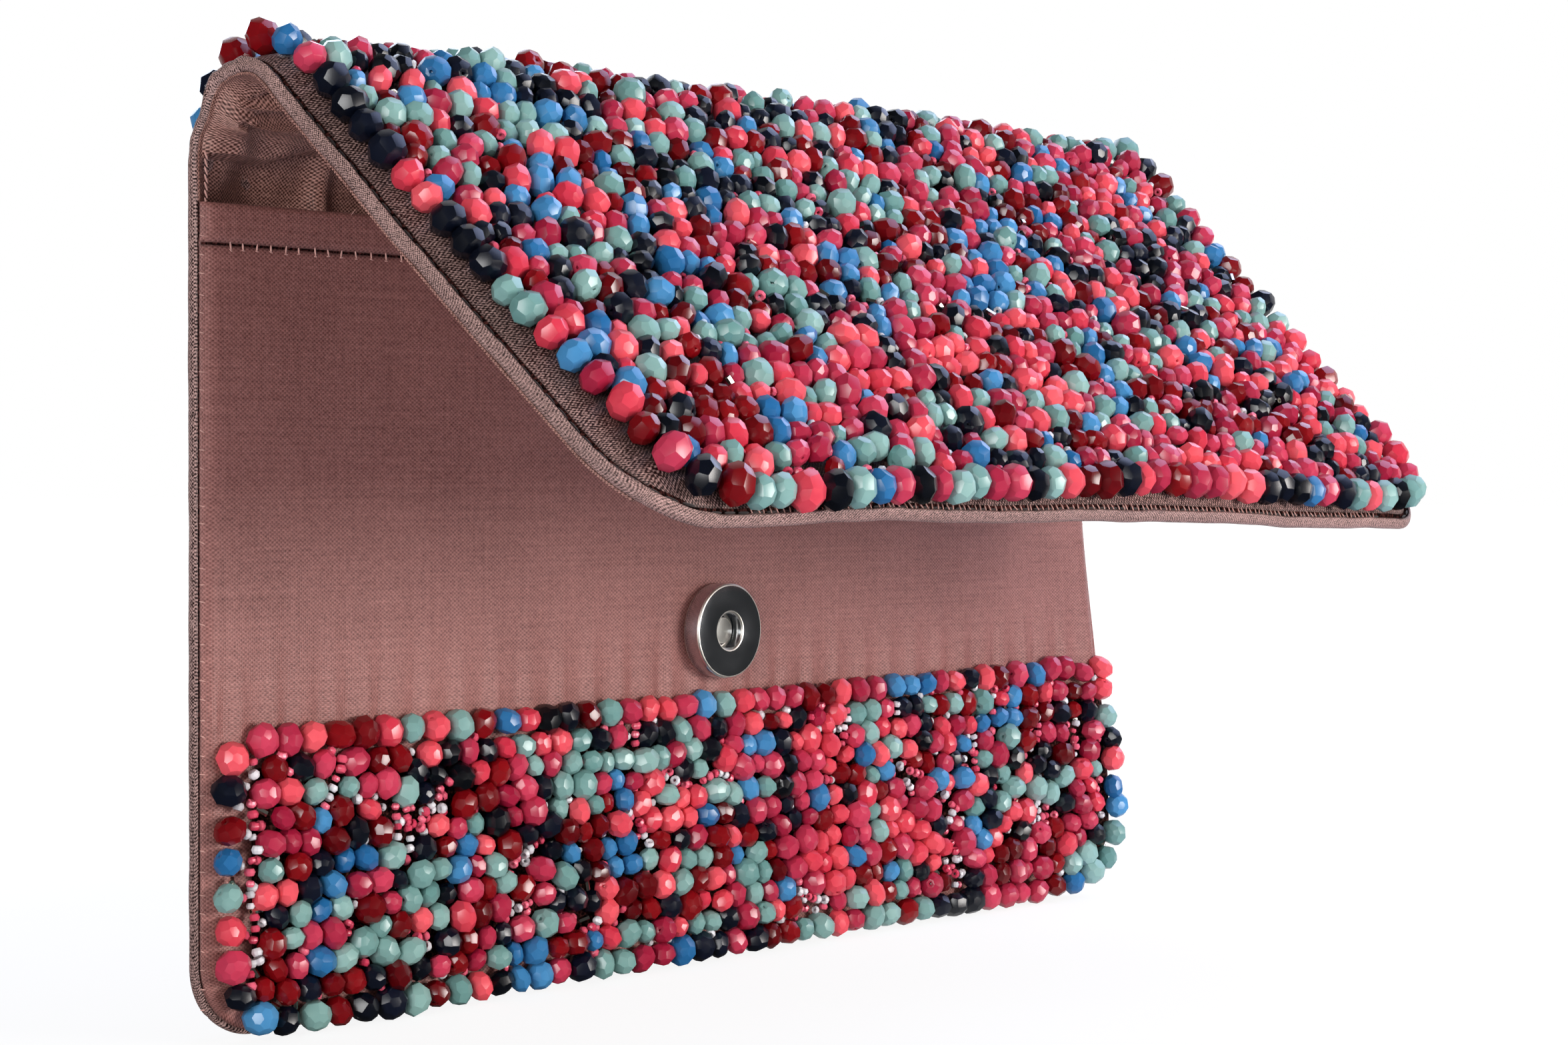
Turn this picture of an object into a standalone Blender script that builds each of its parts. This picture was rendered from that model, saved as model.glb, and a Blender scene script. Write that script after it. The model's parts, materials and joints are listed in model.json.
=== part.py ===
# Beaded clutch bag, standing upright with its flap half open.
# X runs along the width, Y to the back, Z up. The origin is the middle of the bottom edge.
# Lengths are in metres, turns in degrees.

import math

import bmesh
import bpy
import numpy as np
from mathutils import Vector

# Body
bag_width = 0.243
mouth_height = 0.1355
fold_rise = 0.0145  # from the mouth up to the first hinge line of the fold
corner_radius = 0.012
edge_depth = 0.0046  # front face to back face where the sides are sewn shut
back_swell = 0.0062  # how far the back stands out from its sewn edges
swell_taper = 0.018
shoulder_depth = 0.013  # the swell comes in again over this far under the hinge line
mouth_bow = 0.0015  # how far the mouth stands open at its middle
bow_start = 0.080
bow_side = 0.080

# Cloth, board and wadding
cover_thickness = 0.0005
back_cover_thickness = 0.0006
padding_thickness = 0.0016
lining_thickness = 0.0004
board_thickness = 0.0012
layer_gap = 0.00025
rim_width = 0.0008
rim_step = 0.00005
merge_distance = 0.000001
seam_groove = 0.00105
board_inset = 0.004
board_spare = 0.0005  # the back board stops this far under the shoulder
lining_inset = 0.005

# Fold: two narrow strips between the back and the flap
strip_length = 0.011
rest_bend = 44.5
least_closed_bend = 50.0
most_closed_bend = 75.0
bend_trials = 60
hinge_gap = 0.0002
mitre_spare = 1.2

# Flap
flap_length = 0.106
flap_taper = 0.0093  # narrower by this much on each side at its free edge
flap_corner_radius = 0.018
flap_cover_thickness = 0.0006
flap_board_thickness = 0.0008
flap_lining_thickness = 0.0005
flap_board_inset = 0.005
flap_wadding_inset = 0.0025

# Beads
bead_height = 0.0050
bead_valley = 0.0024
bead_pitch = 0.0059
bead_gap = 0.0003
band_top = 0.0505
band_inset = 0.0005
flap_border = 0.007
edge_bead_radius = 0.0029
edge_bead_neck = 0.0013
edge_bead_pitch = 0.0061
strand_sides = 6

# Thread
thread_radius = 0.00022
topstitch_radius = 0.0003
topstitch_inset = 0.0032
hem_drop = 0.0067
hem_inset = 0.003
thread_sides = 4
thread_step = 0.008

# Magnetic snap
snap_height = 0.062
snap_radius = 0.009
snap_wall = 0.0005
snap_round = 0.0004
snap_seat = 0.0003
snap_air = 0.0002
snap_touch = 0.0003  # air left between the two halves when the flap is shut
socket_depth = 0.0040
stud_depth = 0.0020
hole_radius = 0.00345
pole_thickness = 0.0005
pole_boss_radius = 0.0030
pole_boss_height = 0.0005
post_radius = 0.0024
post_length = 0.0017
shank_radius = 0.0013
rivet_radius = 0.0026
rivet_thickness = 0.0005
prong_plate_thickness = 0.0005
prong_reach = 0.005
prong_width = 0.0045
prong_foot = 0.0024
prong_foot_thickness = 0.00035
prong_slot_air = 0.00025
washer_radius = 0.0076
washer_thickness = 0.00035
washer_air = 0.00015
recess_radius = 0.0082
recess_depth = 0.0011
cut_overrun = 0.001
turned_steps = 24
smooth_angle = 40.0

# Shares of a whole, where a curve is drawn with a few straight runs
edge_swell_shares = (0, 0.45, 0.8, 1)
shoulder_swell_shares = (1, 0.93, 0.62, 0)
mouth_side_shares = (1, 0.95, 0.6, 0)
mouth_rise_shares = (0, 0.25, 1)
body_turn_shares = (0, 0.3, 0.6, 0.85)
flap_turn_shares = (0.4, 0.7, 1)

# Colours as red, green, blue, with roughness and metallic value
taffeta = ((0.36, 0.17, 0.15), 0.45, 0.0)
taffeta_pale = ((0.42, 0.24, 0.22), 0.5, 0.0)
lining_cloth = ((0.30, 0.15, 0.13), 0.5, 0.0)
buckram = ((0.62, 0.58, 0.50), 0.9, 0.0)
foam = ((0.80, 0.78, 0.74), 0.95, 0.0)
coral_bead = ((0.80, 0.14, 0.16), 0.3, 0.0)
pink_bead = ((0.60, 0.07, 0.13), 0.3, 0.0)
mint_bead = ((0.20, 0.42, 0.34), 0.3, 0.0)
navy_bead = ((0.02, 0.03, 0.06), 0.25, 0.0)
dark_thread = ((0.05, 0.02, 0.02), 0.7, 0.0)
pink_thread = ((0.62, 0.32, 0.28), 0.7, 0.0)
nickel = ((0.55, 0.54, 0.52), 0.2, 1.0)
steel = ((0.60, 0.60, 0.58), 0.35, 1.0)
ferrite = ((0.05, 0.05, 0.05), 0.7, 0.0)

hinge_height = mouth_height + fold_rise
flap_thickness = (
    flap_cover_thickness
    + layer_gap
    + flap_board_thickness
    + layer_gap
    + padding_thickness
    + layer_gap
    + flap_lining_thickness
)


# Places along the chain: a bend of 0 points up, and a larger bend leans to the front.
def chain_point(root, bend, x, along, out):
    turn = math.radians(bend)
    y = root.y - along * math.sin(turn) + out * math.cos(turn)
    z = root.z + along * math.cos(turn) + out * math.sin(turn)
    return Vector((x, y, z))


def hinge_points(bend):
    rear = Vector((0, edge_depth / 2, hinge_height))
    middle = chain_point(rear, bend, 0, strip_length, 0)
    front = chain_point(middle, 2 * bend, 0, strip_length, 0)
    return rear, middle, front


# Where the stud sits on the flap, and the air to the socket, when each hinge has this bend
def snap_meeting(bend):
    front = hinge_points(bend)[2]
    turn = math.radians(3 * bend)
    depth = flap_thickness + snap_seat + stud_depth
    along = (front.z - depth * math.sin(turn) - snap_height) / -math.cos(turn)
    face = chain_point(front, 3 * bend, 0, along, -depth)
    socket_face = -edge_depth / 2 - snap_seat - socket_depth
    return along, socket_face - face.y


def closing_bend():
    low_bend = least_closed_bend
    high_bend = most_closed_bend
    for _ in range(bend_trials):
        bend = (low_bend + high_bend) / 2
        if snap_meeting(bend)[1] > snap_touch:
            low_bend = bend
        else:
            high_bend = bend
    return low_bend


closed_bend = closing_bend()
stud_along = snap_meeting(closed_bend)[0]
mitre = closed_bend / 2 + mitre_spare
rear_hinge, middle_hinge, front_hinge = hinge_points(rest_bend)


def clear_scene():
    for old in list(bpy.data.objects):
        bpy.data.objects.remove(old, do_unlink=True)


def finish(name, mesh_data, look, smooth=False):
    bmesh.ops.remove_doubles(mesh_data, verts=mesh_data.verts, dist=merge_distance)
    bmesh.ops.recalc_face_normals(mesh_data, faces=mesh_data.faces)
    mesh = bpy.data.meshes.new(name)
    mesh_data.to_mesh(mesh)
    mesh_data.free()
    if smooth:
        mesh.shade_smooth()
        mesh.set_sharp_from_angle(angle=math.radians(smooth_angle))
    piece = bpy.data.objects.new(name, mesh)
    bpy.context.scene.collection.objects.link(piece)
    colour, roughness, metallic = look
    material = bpy.data.materials.new(name)
    material.use_nodes = True
    shader = material.node_tree.nodes["Principled BSDF"]
    shader.inputs["Base Color"].default_value = (*colour, 1)
    shader.inputs["Roughness"].default_value = roughness
    shader.inputs["Metallic"].default_value = metallic
    mesh.materials.append(material)
    return piece


def spread(start, end, count):
    return [start + (end - start) * step / count for step in range(count + 1)]


def border_of(grid):
    low_side = grid[0][:-1]
    right_side = [row[-1] for row in grid[:-1]]
    high_side = grid[-1][:0:-1]
    left_side = [row[0] for row in grid[:0:-1]]
    return low_side + right_side + high_side + left_side


# Each cell is two triangles, split the same way in every layer, so that layers stay parallel
def lay_faces(mesh_data, grid):
    for low, high in zip(grid, grid[1:]):
        for a, b, c, d in zip(low, low[1:], high[1:], high):
            mesh_data.faces.new((a, b, c))
            mesh_data.faces.new((a, c, d))


# Here the split joins the two low corners of a cell, so that each bead keeps its own peak
def lay_peaks(mesh_data, grid):
    for number, (low, high) in enumerate(zip(grid, grid[1:])):
        for place, (a, b, c, d) in enumerate(zip(low, low[1:], high[1:], high)):
            if (number + place) % 2 == 0:
                mesh_data.faces.new((a, b, d))
                mesh_data.faces.new((b, c, d))
            else:
                mesh_data.faces.new((a, b, c))
                mesh_data.faces.new((a, c, d))


def wall_between(mesh_data, ring, other):
    for step in range(len(ring)):
        after = (step + 1) % len(ring)
        mesh_data.faces.new((ring[step], ring[after], other[after], other[step]))


# A sheet between two surfaces, over rows that each have their own columns
def sheet(name, rows, columns, front, rear, look):
    mesh_data = bmesh.new()
    grids = []
    for surface in (front, rear):
        grid = [[mesh_data.verts.new(surface(x, row)) for x in columns(row)] for row in rows]
        lay_faces(mesh_data, grid)
        grids.append(grid)
    wall_between(mesh_data, border_of(grids[0]), border_of(grids[1]))
    return finish(name, mesh_data, look)


# Beads sewn side by side: a flat back and one peak for each bead, in staggered rows
def bead_mat(name, rows, columns, skin, look):
    mesh_data = bmesh.new()
    grid = []
    for number, row in enumerate(rows):
        line = []
        for place, x in enumerate(columns(row)):
            lift = bead_height if (number + place) % 2 == 0 else bead_valley
            line.append(mesh_data.verts.new(skin(x, row, bead_gap + lift)))
        grid.append(line)
    lay_peaks(mesh_data, grid)
    flat = [[(x, row) for x in columns(row)] for row in rows]
    foot = [mesh_data.verts.new(skin(x, row, bead_gap)) for x, row in border_of(flat)]
    wall_between(mesh_data, border_of(grid), foot)
    mesh_data.faces.new(foot)
    return finish(name, mesh_data, look)


def even_columns(half_width, count):
    def columns(row):
        return spread(-half_width(row), half_width(row), count)

    return columns


# Equal steps along a bent line, with the line's direction at each step
def walk(points, step_length):
    lengths = [0.0]
    for before, after in zip(points, points[1:]):
        lengths.append(lengths[-1] + (after - before).length)
    count = max(2, round(lengths[-1] / step_length))
    places = []
    for step in range(count + 1):
        target = lengths[-1] * step / count
        leg = 1
        while leg < len(points) - 1 and lengths[leg] < target:
            leg += 1
        run = lengths[leg] - lengths[leg - 1]
        share = (target - lengths[leg - 1]) / run
        places.append(points[leg - 1].lerp(points[leg], share))
    return places


def sweep(name, places, radii, normal, sides, look):
    mesh_data = bmesh.new()
    rings = []
    last = len(places) - 1
    for number, (place, radius) in enumerate(zip(places, radii)):
        heading = places[min(number + 1, last)] - places[max(number - 1, 0)]
        across = heading.cross(normal).normalized()
        ring = []
        for side in range(sides):
            angle = 2 * math.pi * (side + 0.5) / sides
            offset = across * math.cos(angle) + normal * math.sin(angle)
            ring.append(mesh_data.verts.new(place + offset * radius))
        rings.append(ring)
    for ring, other in zip(rings, rings[1:]):
        wall_between(mesh_data, ring, other)
    mesh_data.faces.new(rings[0])
    mesh_data.faces.new(rings[-1])
    return finish(name, mesh_data, look, smooth=True)


# Turned round the snap's own axis, which points out of the cloth
def turned(name, profile, centre, outward, look):
    mesh_data = bmesh.new()
    points = [mesh_data.verts.new((radius, 0, height)) for radius, height in profile]
    edges = [mesh_data.edges.new((a, b)) for a, b in zip(points, points[1:] + points[:1])]
    bmesh.ops.spin(
        mesh_data,
        geom=points + edges,
        cent=(0, 0, 0),
        axis=(0, 0, 1),
        angle=math.radians(360),
        steps=turned_steps,
        use_merge=True,
    )
    bmesh.ops.dissolve_degenerate(mesh_data, dist=merge_distance, edges=mesh_data.edges)
    piece = finish(name, mesh_data, look, smooth=True)
    piece.location = centre
    piece.rotation_euler = outward.to_track_quat("Z", "X").to_euler()
    return piece


# A flat outline in the snap's own X and Z, drawn out to both sides in Y
def drawn_out(name, outline, width, centre, outward, look):
    mesh_data = bmesh.new()
    near = [mesh_data.verts.new((x, -width / 2, height)) for x, height in outline]
    far = [mesh_data.verts.new((x, width / 2, height)) for x, height in outline]
    mesh_data.faces.new(near)
    mesh_data.faces.new(far)
    wall_between(mesh_data, near, far)
    piece = finish(name, mesh_data, look)
    piece.location = centre
    piece.rotation_euler = outward.to_track_quat("Z", "X").to_euler()
    return piece


def cut(piece, cutter):
    cutter.hide_render = True
    cutter.display_type = "WIRE"
    modifier = piece.modifiers.new(cutter.name, "BOOLEAN")
    modifier.operation = "DIFFERENCE"
    modifier.object = cutter


# Body outline, drawn in by an inset
def body_half_width(height, inset):
    radius = corner_radius - inset
    rise = max(height - inset, 0)
    half = bag_width / 2 - inset
    if rise >= radius:
        return half
    return half - radius + math.sqrt(radius**2 - (radius - rise) ** 2)


def body_rows(inset, top, count):
    radius = corner_radius - inset
    foot = [inset + radius * (1 - math.cos(math.pi / 2 * share)) for share in body_turn_shares]
    return foot + spread(inset + radius, top, count)


# The back stands out from its sewn edges and comes in again towards the fold
def back_face(inset, z):
    inset_share = np.interp(inset / swell_taper, spread(0, 1, 3), edge_swell_shares)
    top_share = np.interp(z, shoulder_rows(), shoulder_swell_shares)
    return edge_depth / 2 + back_swell * float(inset_share * top_share)


def shoulder_rows():
    return spread(hinge_height - shoulder_depth, hinge_height, 3)


# The mouth stands a little open at its middle, and the front is flat below
def front_face(x, z):
    side_share = np.interp(abs(x), (0, bow_side / 2, bow_side, bag_width / 2), mouth_side_shares)
    rise_share = np.interp(z, spread(bow_start, mouth_height, 2), mouth_rise_shares)
    return -edge_depth / 2 - mouth_bow * float(side_share * rise_share)


# The hinge line's slanted cut, so that the fold can close without pinching
def under_hinge(y, z):
    depth = max(edge_depth / 2 - y, 0)
    return min(z, hinge_height - hinge_gap - depth * math.tan(math.radians(mitre)))


def make_front():
    def layer(name, start, end, inset, top, look):
        def columns(row):
            half = body_half_width(row, inset)
            return [-half] + spread(-bow_side, bow_side, 4) + [half]

        return sheet(
            name,
            body_rows(inset, bow_start, 1) + spread(bow_start, mouth_height, 2)[1:-1] + [top],
            columns,
            lambda x, row: Vector((x, front_face(x, row) + start, row)),
            lambda x, row: Vector((x, front_face(x, row) + end, row)),
            look,
        )

    padding_start = cover_thickness + layer_gap
    padding_end = padding_start + padding_thickness
    lining_start = padding_end + layer_gap
    lining_end = lining_start + lining_thickness
    padding_top = mouth_height - board_inset / 2
    cover = layer("front_cover", 0, cover_thickness, 0, mouth_height, taffeta)
    padding = layer("front_padding", padding_start, padding_end, board_inset, padding_top, foam)
    layer("front_lining", lining_start, lining_end, lining_inset, mouth_height, lining_cloth)
    return cover, padding


# Down the left side, round the bottom corners and up the right side, drawn in by an inset
def back_ring(inset, top):
    heights = [top] + [row for row in reversed(shoulder_rows()) if row < top]
    left = [(-bag_width / 2 + inset, row) for row in heights]
    centre_x = -bag_width / 2 + corner_radius
    radius = max(corner_radius - inset, 0)
    beyond = max(inset - corner_radius, 0)
    for angle in spread(0, math.pi / 2, 4):
        x = centre_x + beyond - radius * math.cos(angle)
        left.append((x, corner_radius + beyond - radius * math.sin(angle)))
    return left + [(-x, row) for x, row in reversed(left)]


# One layer of the back: rings from its edge to the flat middle, and bands up to its top
def back_layer(name, insets, front, rear, top, look):
    mesh_data = bmesh.new()
    edges = []
    shoulder = len([row for row in shoulder_rows() if row < top])
    for depth in (front, rear):
        rings = []
        for inset in insets:
            ring = []
            for x, row in back_ring(inset, top):
                y = depth(inset, row)
                ring.append(mesh_data.verts.new((x, y, under_hinge(y, row))))
            rings.append(ring)
        lay_faces(mesh_data, rings)
        last = rings[-1]
        for step in range(shoulder):
            mesh_data.faces.new((last[step], last[step + 1], last[-step - 2], last[-step - 1]))
        mesh_data.faces.new(last[shoulder : len(last) - shoulder])
        right_top = [ring[-1] for ring in rings[1:]]
        left_top = [ring[0] for ring in rings[:0:-1]]
        edges.append(rings[0] + right_top + left_top)
    wall_between(mesh_data, edges[0], edges[1])
    return finish(name, mesh_data, look)


def make_back():
    rim_front = -edge_depth / 2 + cover_thickness + seam_groove
    taper = spread(0, swell_taper, 3)[1:]

    def under(offset):
        return lambda inset, row: back_face(inset, row) - offset

    def cover_front(inset, row):
        on_rim = inset < rim_width + rim_step / 2
        return rim_front if on_rim else back_face(inset, row) - back_cover_thickness

    rim = [0, rim_width, rim_width + rim_step]
    back_layer("back_cover", rim + taper, cover_front, under(0), hinge_height, taffeta)
    board_start = back_cover_thickness + layer_gap
    board_end = board_start + board_thickness
    lining_start = board_end + layer_gap
    lining_end = lining_start + lining_thickness
    board_top = hinge_height - shoulder_depth - board_spare
    board_rings = [board_inset] + taper
    lining_rings = [lining_inset] + taper
    back_layer("back_board", board_rings, under(board_end), under(board_start), board_top, buckram)
    back_layer(
        "back_lining", lining_rings, under(lining_end), under(lining_start), hinge_height, lining_cloth
    )


def edge_path(half_width, start, turn, end, place):
    quarter = math.pi / 2
    side = spread(start, turn, 6)
    corner = [turn + (end - turn) * math.sin(quarter * share) for share in spread(0, 1, 6)[1:]]
    down = [(-half_width(row), row) for row in side + corner]
    up = [(-x, row) for x, row in reversed(down)]
    return [place(x, row) for x, row in down + up]


def make_body_thread():
    inset = 2 * thread_radius
    depth = -edge_depth / 2 + cover_thickness + seam_groove / 2
    path = edge_path(
        lambda row: body_half_width(row, inset),
        mouth_height,
        corner_radius,
        inset,
        lambda x, row: Vector((x, depth, row)),
    )
    places = walk(path, thread_step)
    radii = [thread_radius] * len(places)
    sweep("side_seam_thread", places, radii, Vector((0, 1, 0)), thread_sides, dark_thread)

    height = mouth_height - hem_drop
    half = bag_width / 2 - hem_inset
    lift = layer_gap + thread_radius
    line = [Vector((x, front_face(x, height) - lift, height)) for x in spread(-half, half, 12)]
    radii = [thread_radius] * len(line)
    sweep("hem_thread", line, radii, Vector((0, 1, 0)), thread_sides, pink_thread)


def make_band_beads():
    step = bead_pitch / math.sqrt(2)
    count = round((band_top - band_inset) / step)
    return bead_mat(
        "band_beads",
        spread(band_inset, band_top, count),
        even_columns(lambda row: body_half_width(row, band_inset), round(bag_width / step)),
        lambda x, row, out: Vector((x, -edge_depth / 2 - out, row)),
        coral_bead,
    )


# One strip of the fold: cloth outside, lining inside, beads over it
def make_strip(name, root, bend, bead_look):
    slope = math.tan(math.radians(mitre))

    def layer(piece, start, end, look):
        def surface(depth):
            def place(x, row):
                nearest = hinge_gap + depth * slope
                along = min(max(row, nearest), strip_length - nearest)
                return chain_point(root, bend, x, along, -depth)

            return place

        rows = [0, strip_length]
        columns = even_columns(lambda row: bag_width / 2, 1)
        sheet(piece, rows, columns, surface(start), surface(end), look)

    layer(name + "_cover", 0, flap_cover_thickness, taffeta)
    lining_start = flap_cover_thickness + layer_gap
    layer(name + "_lining", lining_start, lining_start + flap_lining_thickness, lining_cloth)
    step = bead_pitch / math.sqrt(2)
    bead_mat(
        name + "_beads",
        spread(hinge_gap, strip_length - hinge_gap, round(strip_length / step)),
        even_columns(lambda row: bag_width / 2 - band_inset, round(bag_width / step)),
        lambda x, row, out: chain_point(root, bend, x, row, out),
        bead_look,
    )


def flap_half_width(along, inset):
    half = bag_width / 2 - flap_taper * along / flap_length - inset
    radius = flap_corner_radius - inset
    past = along - (flap_length - flap_corner_radius)
    if past <= 0:
        return half
    return half - radius + math.sqrt(max(radius**2 - past**2, 0))


def flap_rows(inset, root, count):
    radius = flap_corner_radius - inset
    turn = flap_length - flap_corner_radius
    corner = [turn + radius * math.sin(math.pi / 2 * share) for share in flap_turn_shares]
    return spread(root, turn, count) + corner


def flap_point(x, along, out):
    return chain_point(front_hinge, 3 * rest_bend, x, along, out)


def make_flap():
    slope = math.tan(math.radians(mitre))

    def layer(name, start, end, inset, root, look):
        def surface(depth):
            def place(x, row):
                return flap_point(x, max(row, hinge_gap + depth * slope), -depth)

            return place

        return sheet(
            name,
            flap_rows(inset, root, 2),
            even_columns(lambda row: flap_half_width(row, inset), 4),
            surface(start),
            surface(end),
            look,
        )

    board_start = flap_cover_thickness + layer_gap
    board_end = board_start + flap_board_thickness
    wadding_start = board_end + layer_gap
    wadding_end = wadding_start + padding_thickness
    lining_start = wadding_end + layer_gap
    layer("flap_cover", 0, flap_cover_thickness, 0, 0, taffeta_pale)
    layer("flap_board", board_start, board_end, flap_board_inset, flap_board_inset, buckram)
    wadding = layer(
        "flap_wadding", wadding_start, wadding_end, flap_wadding_inset, flap_wadding_inset, foam
    )
    lining = layer("flap_lining", lining_start, flap_thickness, 0, 0, lining_cloth)
    return wadding, lining


def make_flap_beads():
    strand_inset = flap_border + edge_bead_radius
    field_inset = flap_border + 2 * edge_bead_radius + bead_gap
    step = bead_pitch / math.sqrt(2)
    field_end = flap_length - field_inset
    bead_mat(
        "flap_field_beads",
        spread(hinge_gap, field_end, round(field_end / step)),
        even_columns(lambda row: flap_half_width(row, field_inset), round(bag_width / step)),
        flap_point,
        mint_bead,
    )

    out = bead_gap + edge_bead_radius
    path = edge_path(
        lambda row: flap_half_width(row, strand_inset),
        hinge_gap + edge_bead_neck,
        flap_length - flap_corner_radius,
        flap_length - strand_inset,
        lambda x, row: flap_point(x, row, out),
    )
    places = walk(path, edge_bead_pitch / 2)
    radii = [edge_bead_radius if number % 2 else edge_bead_neck for number in range(len(places))]
    normal = flap_point(0, 0, 1) - flap_point(0, 0, 0)
    sweep("flap_edge_beads", places, radii, normal, strand_sides, navy_bead)

    lift = layer_gap + topstitch_radius
    path = edge_path(
        lambda row: flap_half_width(row, topstitch_inset),
        hinge_gap + topstitch_radius,
        flap_length - flap_corner_radius,
        flap_length - topstitch_inset,
        lambda x, row: flap_point(x, row, lift),
    )
    places = walk(path, thread_step)
    radii = [topstitch_radius] * len(places)
    sweep("flap_topstitch", places, radii, normal, thread_sides, dark_thread)


# Prongs that hold one half of the snap, through a skin and its padding, and the washer behind
def make_fastening(name, centre, outward, skin, skin_thickness, padding):
    padding_face = skin_thickness + layer_gap
    recess_face = padding_face + padding_thickness - recess_depth
    plate_top = snap_seat + prong_plate_thickness
    washer_top = recess_face + washer_air
    washer_foot = washer_top + washer_thickness
    foot_top = washer_foot + washer_air
    foot_end = foot_top + prong_foot_thickness
    leg_out = prong_reach
    leg_in = prong_reach - prong_plate_thickness
    foot_out = leg_in + prong_foot
    half_outline = [
        (leg_out, plate_top),
        (leg_out, -foot_top),
        (foot_out, -foot_top),
        (foot_out, -foot_end),
        (leg_in, -foot_end),
        (leg_in, snap_seat),
    ]
    outline = half_outline + [(-x, height) for x, height in reversed(half_outline)]
    drawn_out(name + "_prongs", outline, prong_width, centre, outward, steel)

    recess = turned(
        name + "_recess_cutter",
        [
            (0, -recess_face),
            (recess_radius, -recess_face),
            (recess_radius, -recess_face - recess_depth - cut_overrun),
            (0, -recess_face - recess_depth - cut_overrun),
        ],
        centre,
        outward,
        steel,
    )
    cut(padding, recess)
    washer = turned(
        name + "_washer",
        [(0, -washer_top), (washer_radius, -washer_top), (washer_radius, -washer_foot), (0, -washer_foot)],
        centre,
        outward,
        steel,
    )
    for side, label in ((-1, "left"), (1, "right")):
        slot_in = side * (leg_in - prong_slot_air)
        slot_out = side * (leg_out + prong_slot_air)
        slot = drawn_out(
            name + "_slot_cutter_" + label,
            [
                (slot_in, cut_overrun),
                (slot_out, cut_overrun),
                (slot_out, -foot_end),
                (slot_in, -foot_end),
            ],
            prong_width + 2 * prong_slot_air,
            centre,
            outward,
            steel,
        )
        for piece in (skin, padding, washer):
            cut(piece, slot)


def make_socket(cover, padding):
    centre = Vector((0, -edge_depth / 2, snap_height))
    outward = Vector((0, -1, 0))
    make_fastening("socket", centre, outward, cover, cover_thickness, padding)
    face = snap_seat + socket_depth
    pole_foot = snap_seat + prong_plate_thickness + snap_air
    pole_top = pole_foot + pole_thickness
    magnet_foot = pole_top + snap_air
    ceiling = face - snap_wall
    inner_radius = snap_radius - snap_wall
    collar_radius = hole_radius + snap_wall
    magnet_radius = inner_radius - snap_air
    turned(
        "socket_case",
        [
            (snap_radius, snap_seat),
            (snap_radius, face - snap_round),
            (snap_radius - snap_round, face),
            (hole_radius + snap_round, face),
            (hole_radius, face - snap_round),
            (hole_radius, magnet_foot),
            (collar_radius, magnet_foot),
            (collar_radius, ceiling),
            (inner_radius, ceiling),
            (inner_radius, snap_seat),
        ],
        centre,
        outward,
        nickel,
    )
    turned(
        "socket_magnet",
        [
            (collar_radius + snap_air, magnet_foot),
            (magnet_radius, magnet_foot),
            (magnet_radius, ceiling - snap_air),
            (collar_radius + snap_air, ceiling - snap_air),
        ],
        centre,
        outward,
        ferrite,
    )
    turned(
        "socket_pole",
        [
            (0, pole_foot),
            (magnet_radius, pole_foot),
            (magnet_radius, pole_top),
            (pole_boss_radius, pole_top),
            (pole_boss_radius, pole_top + pole_boss_height),
            (0, pole_top + pole_boss_height),
        ],
        centre,
        outward,
        steel,
    )


def make_stud(lining, wadding):
    centre = flap_point(0, stud_along, -flap_thickness)
    outward = (flap_point(0, 0, 0) - flap_point(0, 0, 1)).normalized()
    make_fastening("stud", centre, outward, lining, flap_lining_thickness, wadding)
    face = snap_seat + stud_depth
    ceiling = face - snap_wall
    inner_radius = snap_radius - snap_wall
    bore_radius = shank_radius + snap_air
    rivet_top = ceiling - snap_air
    turned(
        "stud_plate",
        [
            (snap_radius, snap_seat),
            (snap_radius, face - snap_round),
            (snap_radius - snap_round, face),
            (bore_radius, face),
            (bore_radius, ceiling),
            (inner_radius, ceiling),
            (inner_radius, snap_seat),
        ],
        centre,
        outward,
        nickel,
    )
    turned(
        "stud_post",
        [
            (0, rivet_top - rivet_thickness),
            (rivet_radius, rivet_top - rivet_thickness),
            (rivet_radius, rivet_top),
            (shank_radius, rivet_top),
            (shank_radius, face + snap_air),
            (post_radius, face + snap_air),
            (post_radius, face + snap_air + post_length - snap_round),
            (post_radius - snap_round, face + snap_air + post_length),
            (0, face + snap_air + post_length),
        ],
        centre,
        outward,
        nickel,
    )


# Each moving body hangs from an empty on its hinge line
def add_hinges():
    parent = None
    parent_place = Vector()
    places = {
        "fold_rear": rear_hinge,
        "fold_front": middle_hinge,
        "flap": front_hinge,
    }
    hinges = {}
    for name, place in places.items():
        hinge = bpy.data.objects.new(name + "_hinge", None)
        bpy.context.scene.collection.objects.link(hinge)
        hinge.parent = parent
        hinge.location = place - parent_place
        parent = hinge
        parent_place = place
        hinges[name] = hinge
    bpy.context.view_layer.update()
    for piece in bpy.context.scene.objects:
        for name, hinge in hinges.items():
            on_flap = name == "flap" and piece.name.startswith("stud_")
            if piece.type == "MESH" and (piece.name.startswith(name + "_") or on_flap):
                piece.parent = hinge
                piece.matrix_parent_inverse = hinge.matrix_world.inverted()


def main():
    clear_scene()
    cover, padding = make_front()
    make_back()
    make_body_thread()
    make_band_beads()
    make_socket(cover, padding)
    make_strip("fold_rear", rear_hinge, rest_bend, pink_bead)
    make_strip("fold_front", middle_hinge, 2 * rest_bend, mint_bead)
    wadding, lining = make_flap()
    make_flap_beads()
    make_stud(lining, wadding)
    add_hinges()


main()
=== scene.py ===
import json
import math
import bpy
import numpy as np
from mathutils import Euler, Matrix, Vector


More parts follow.
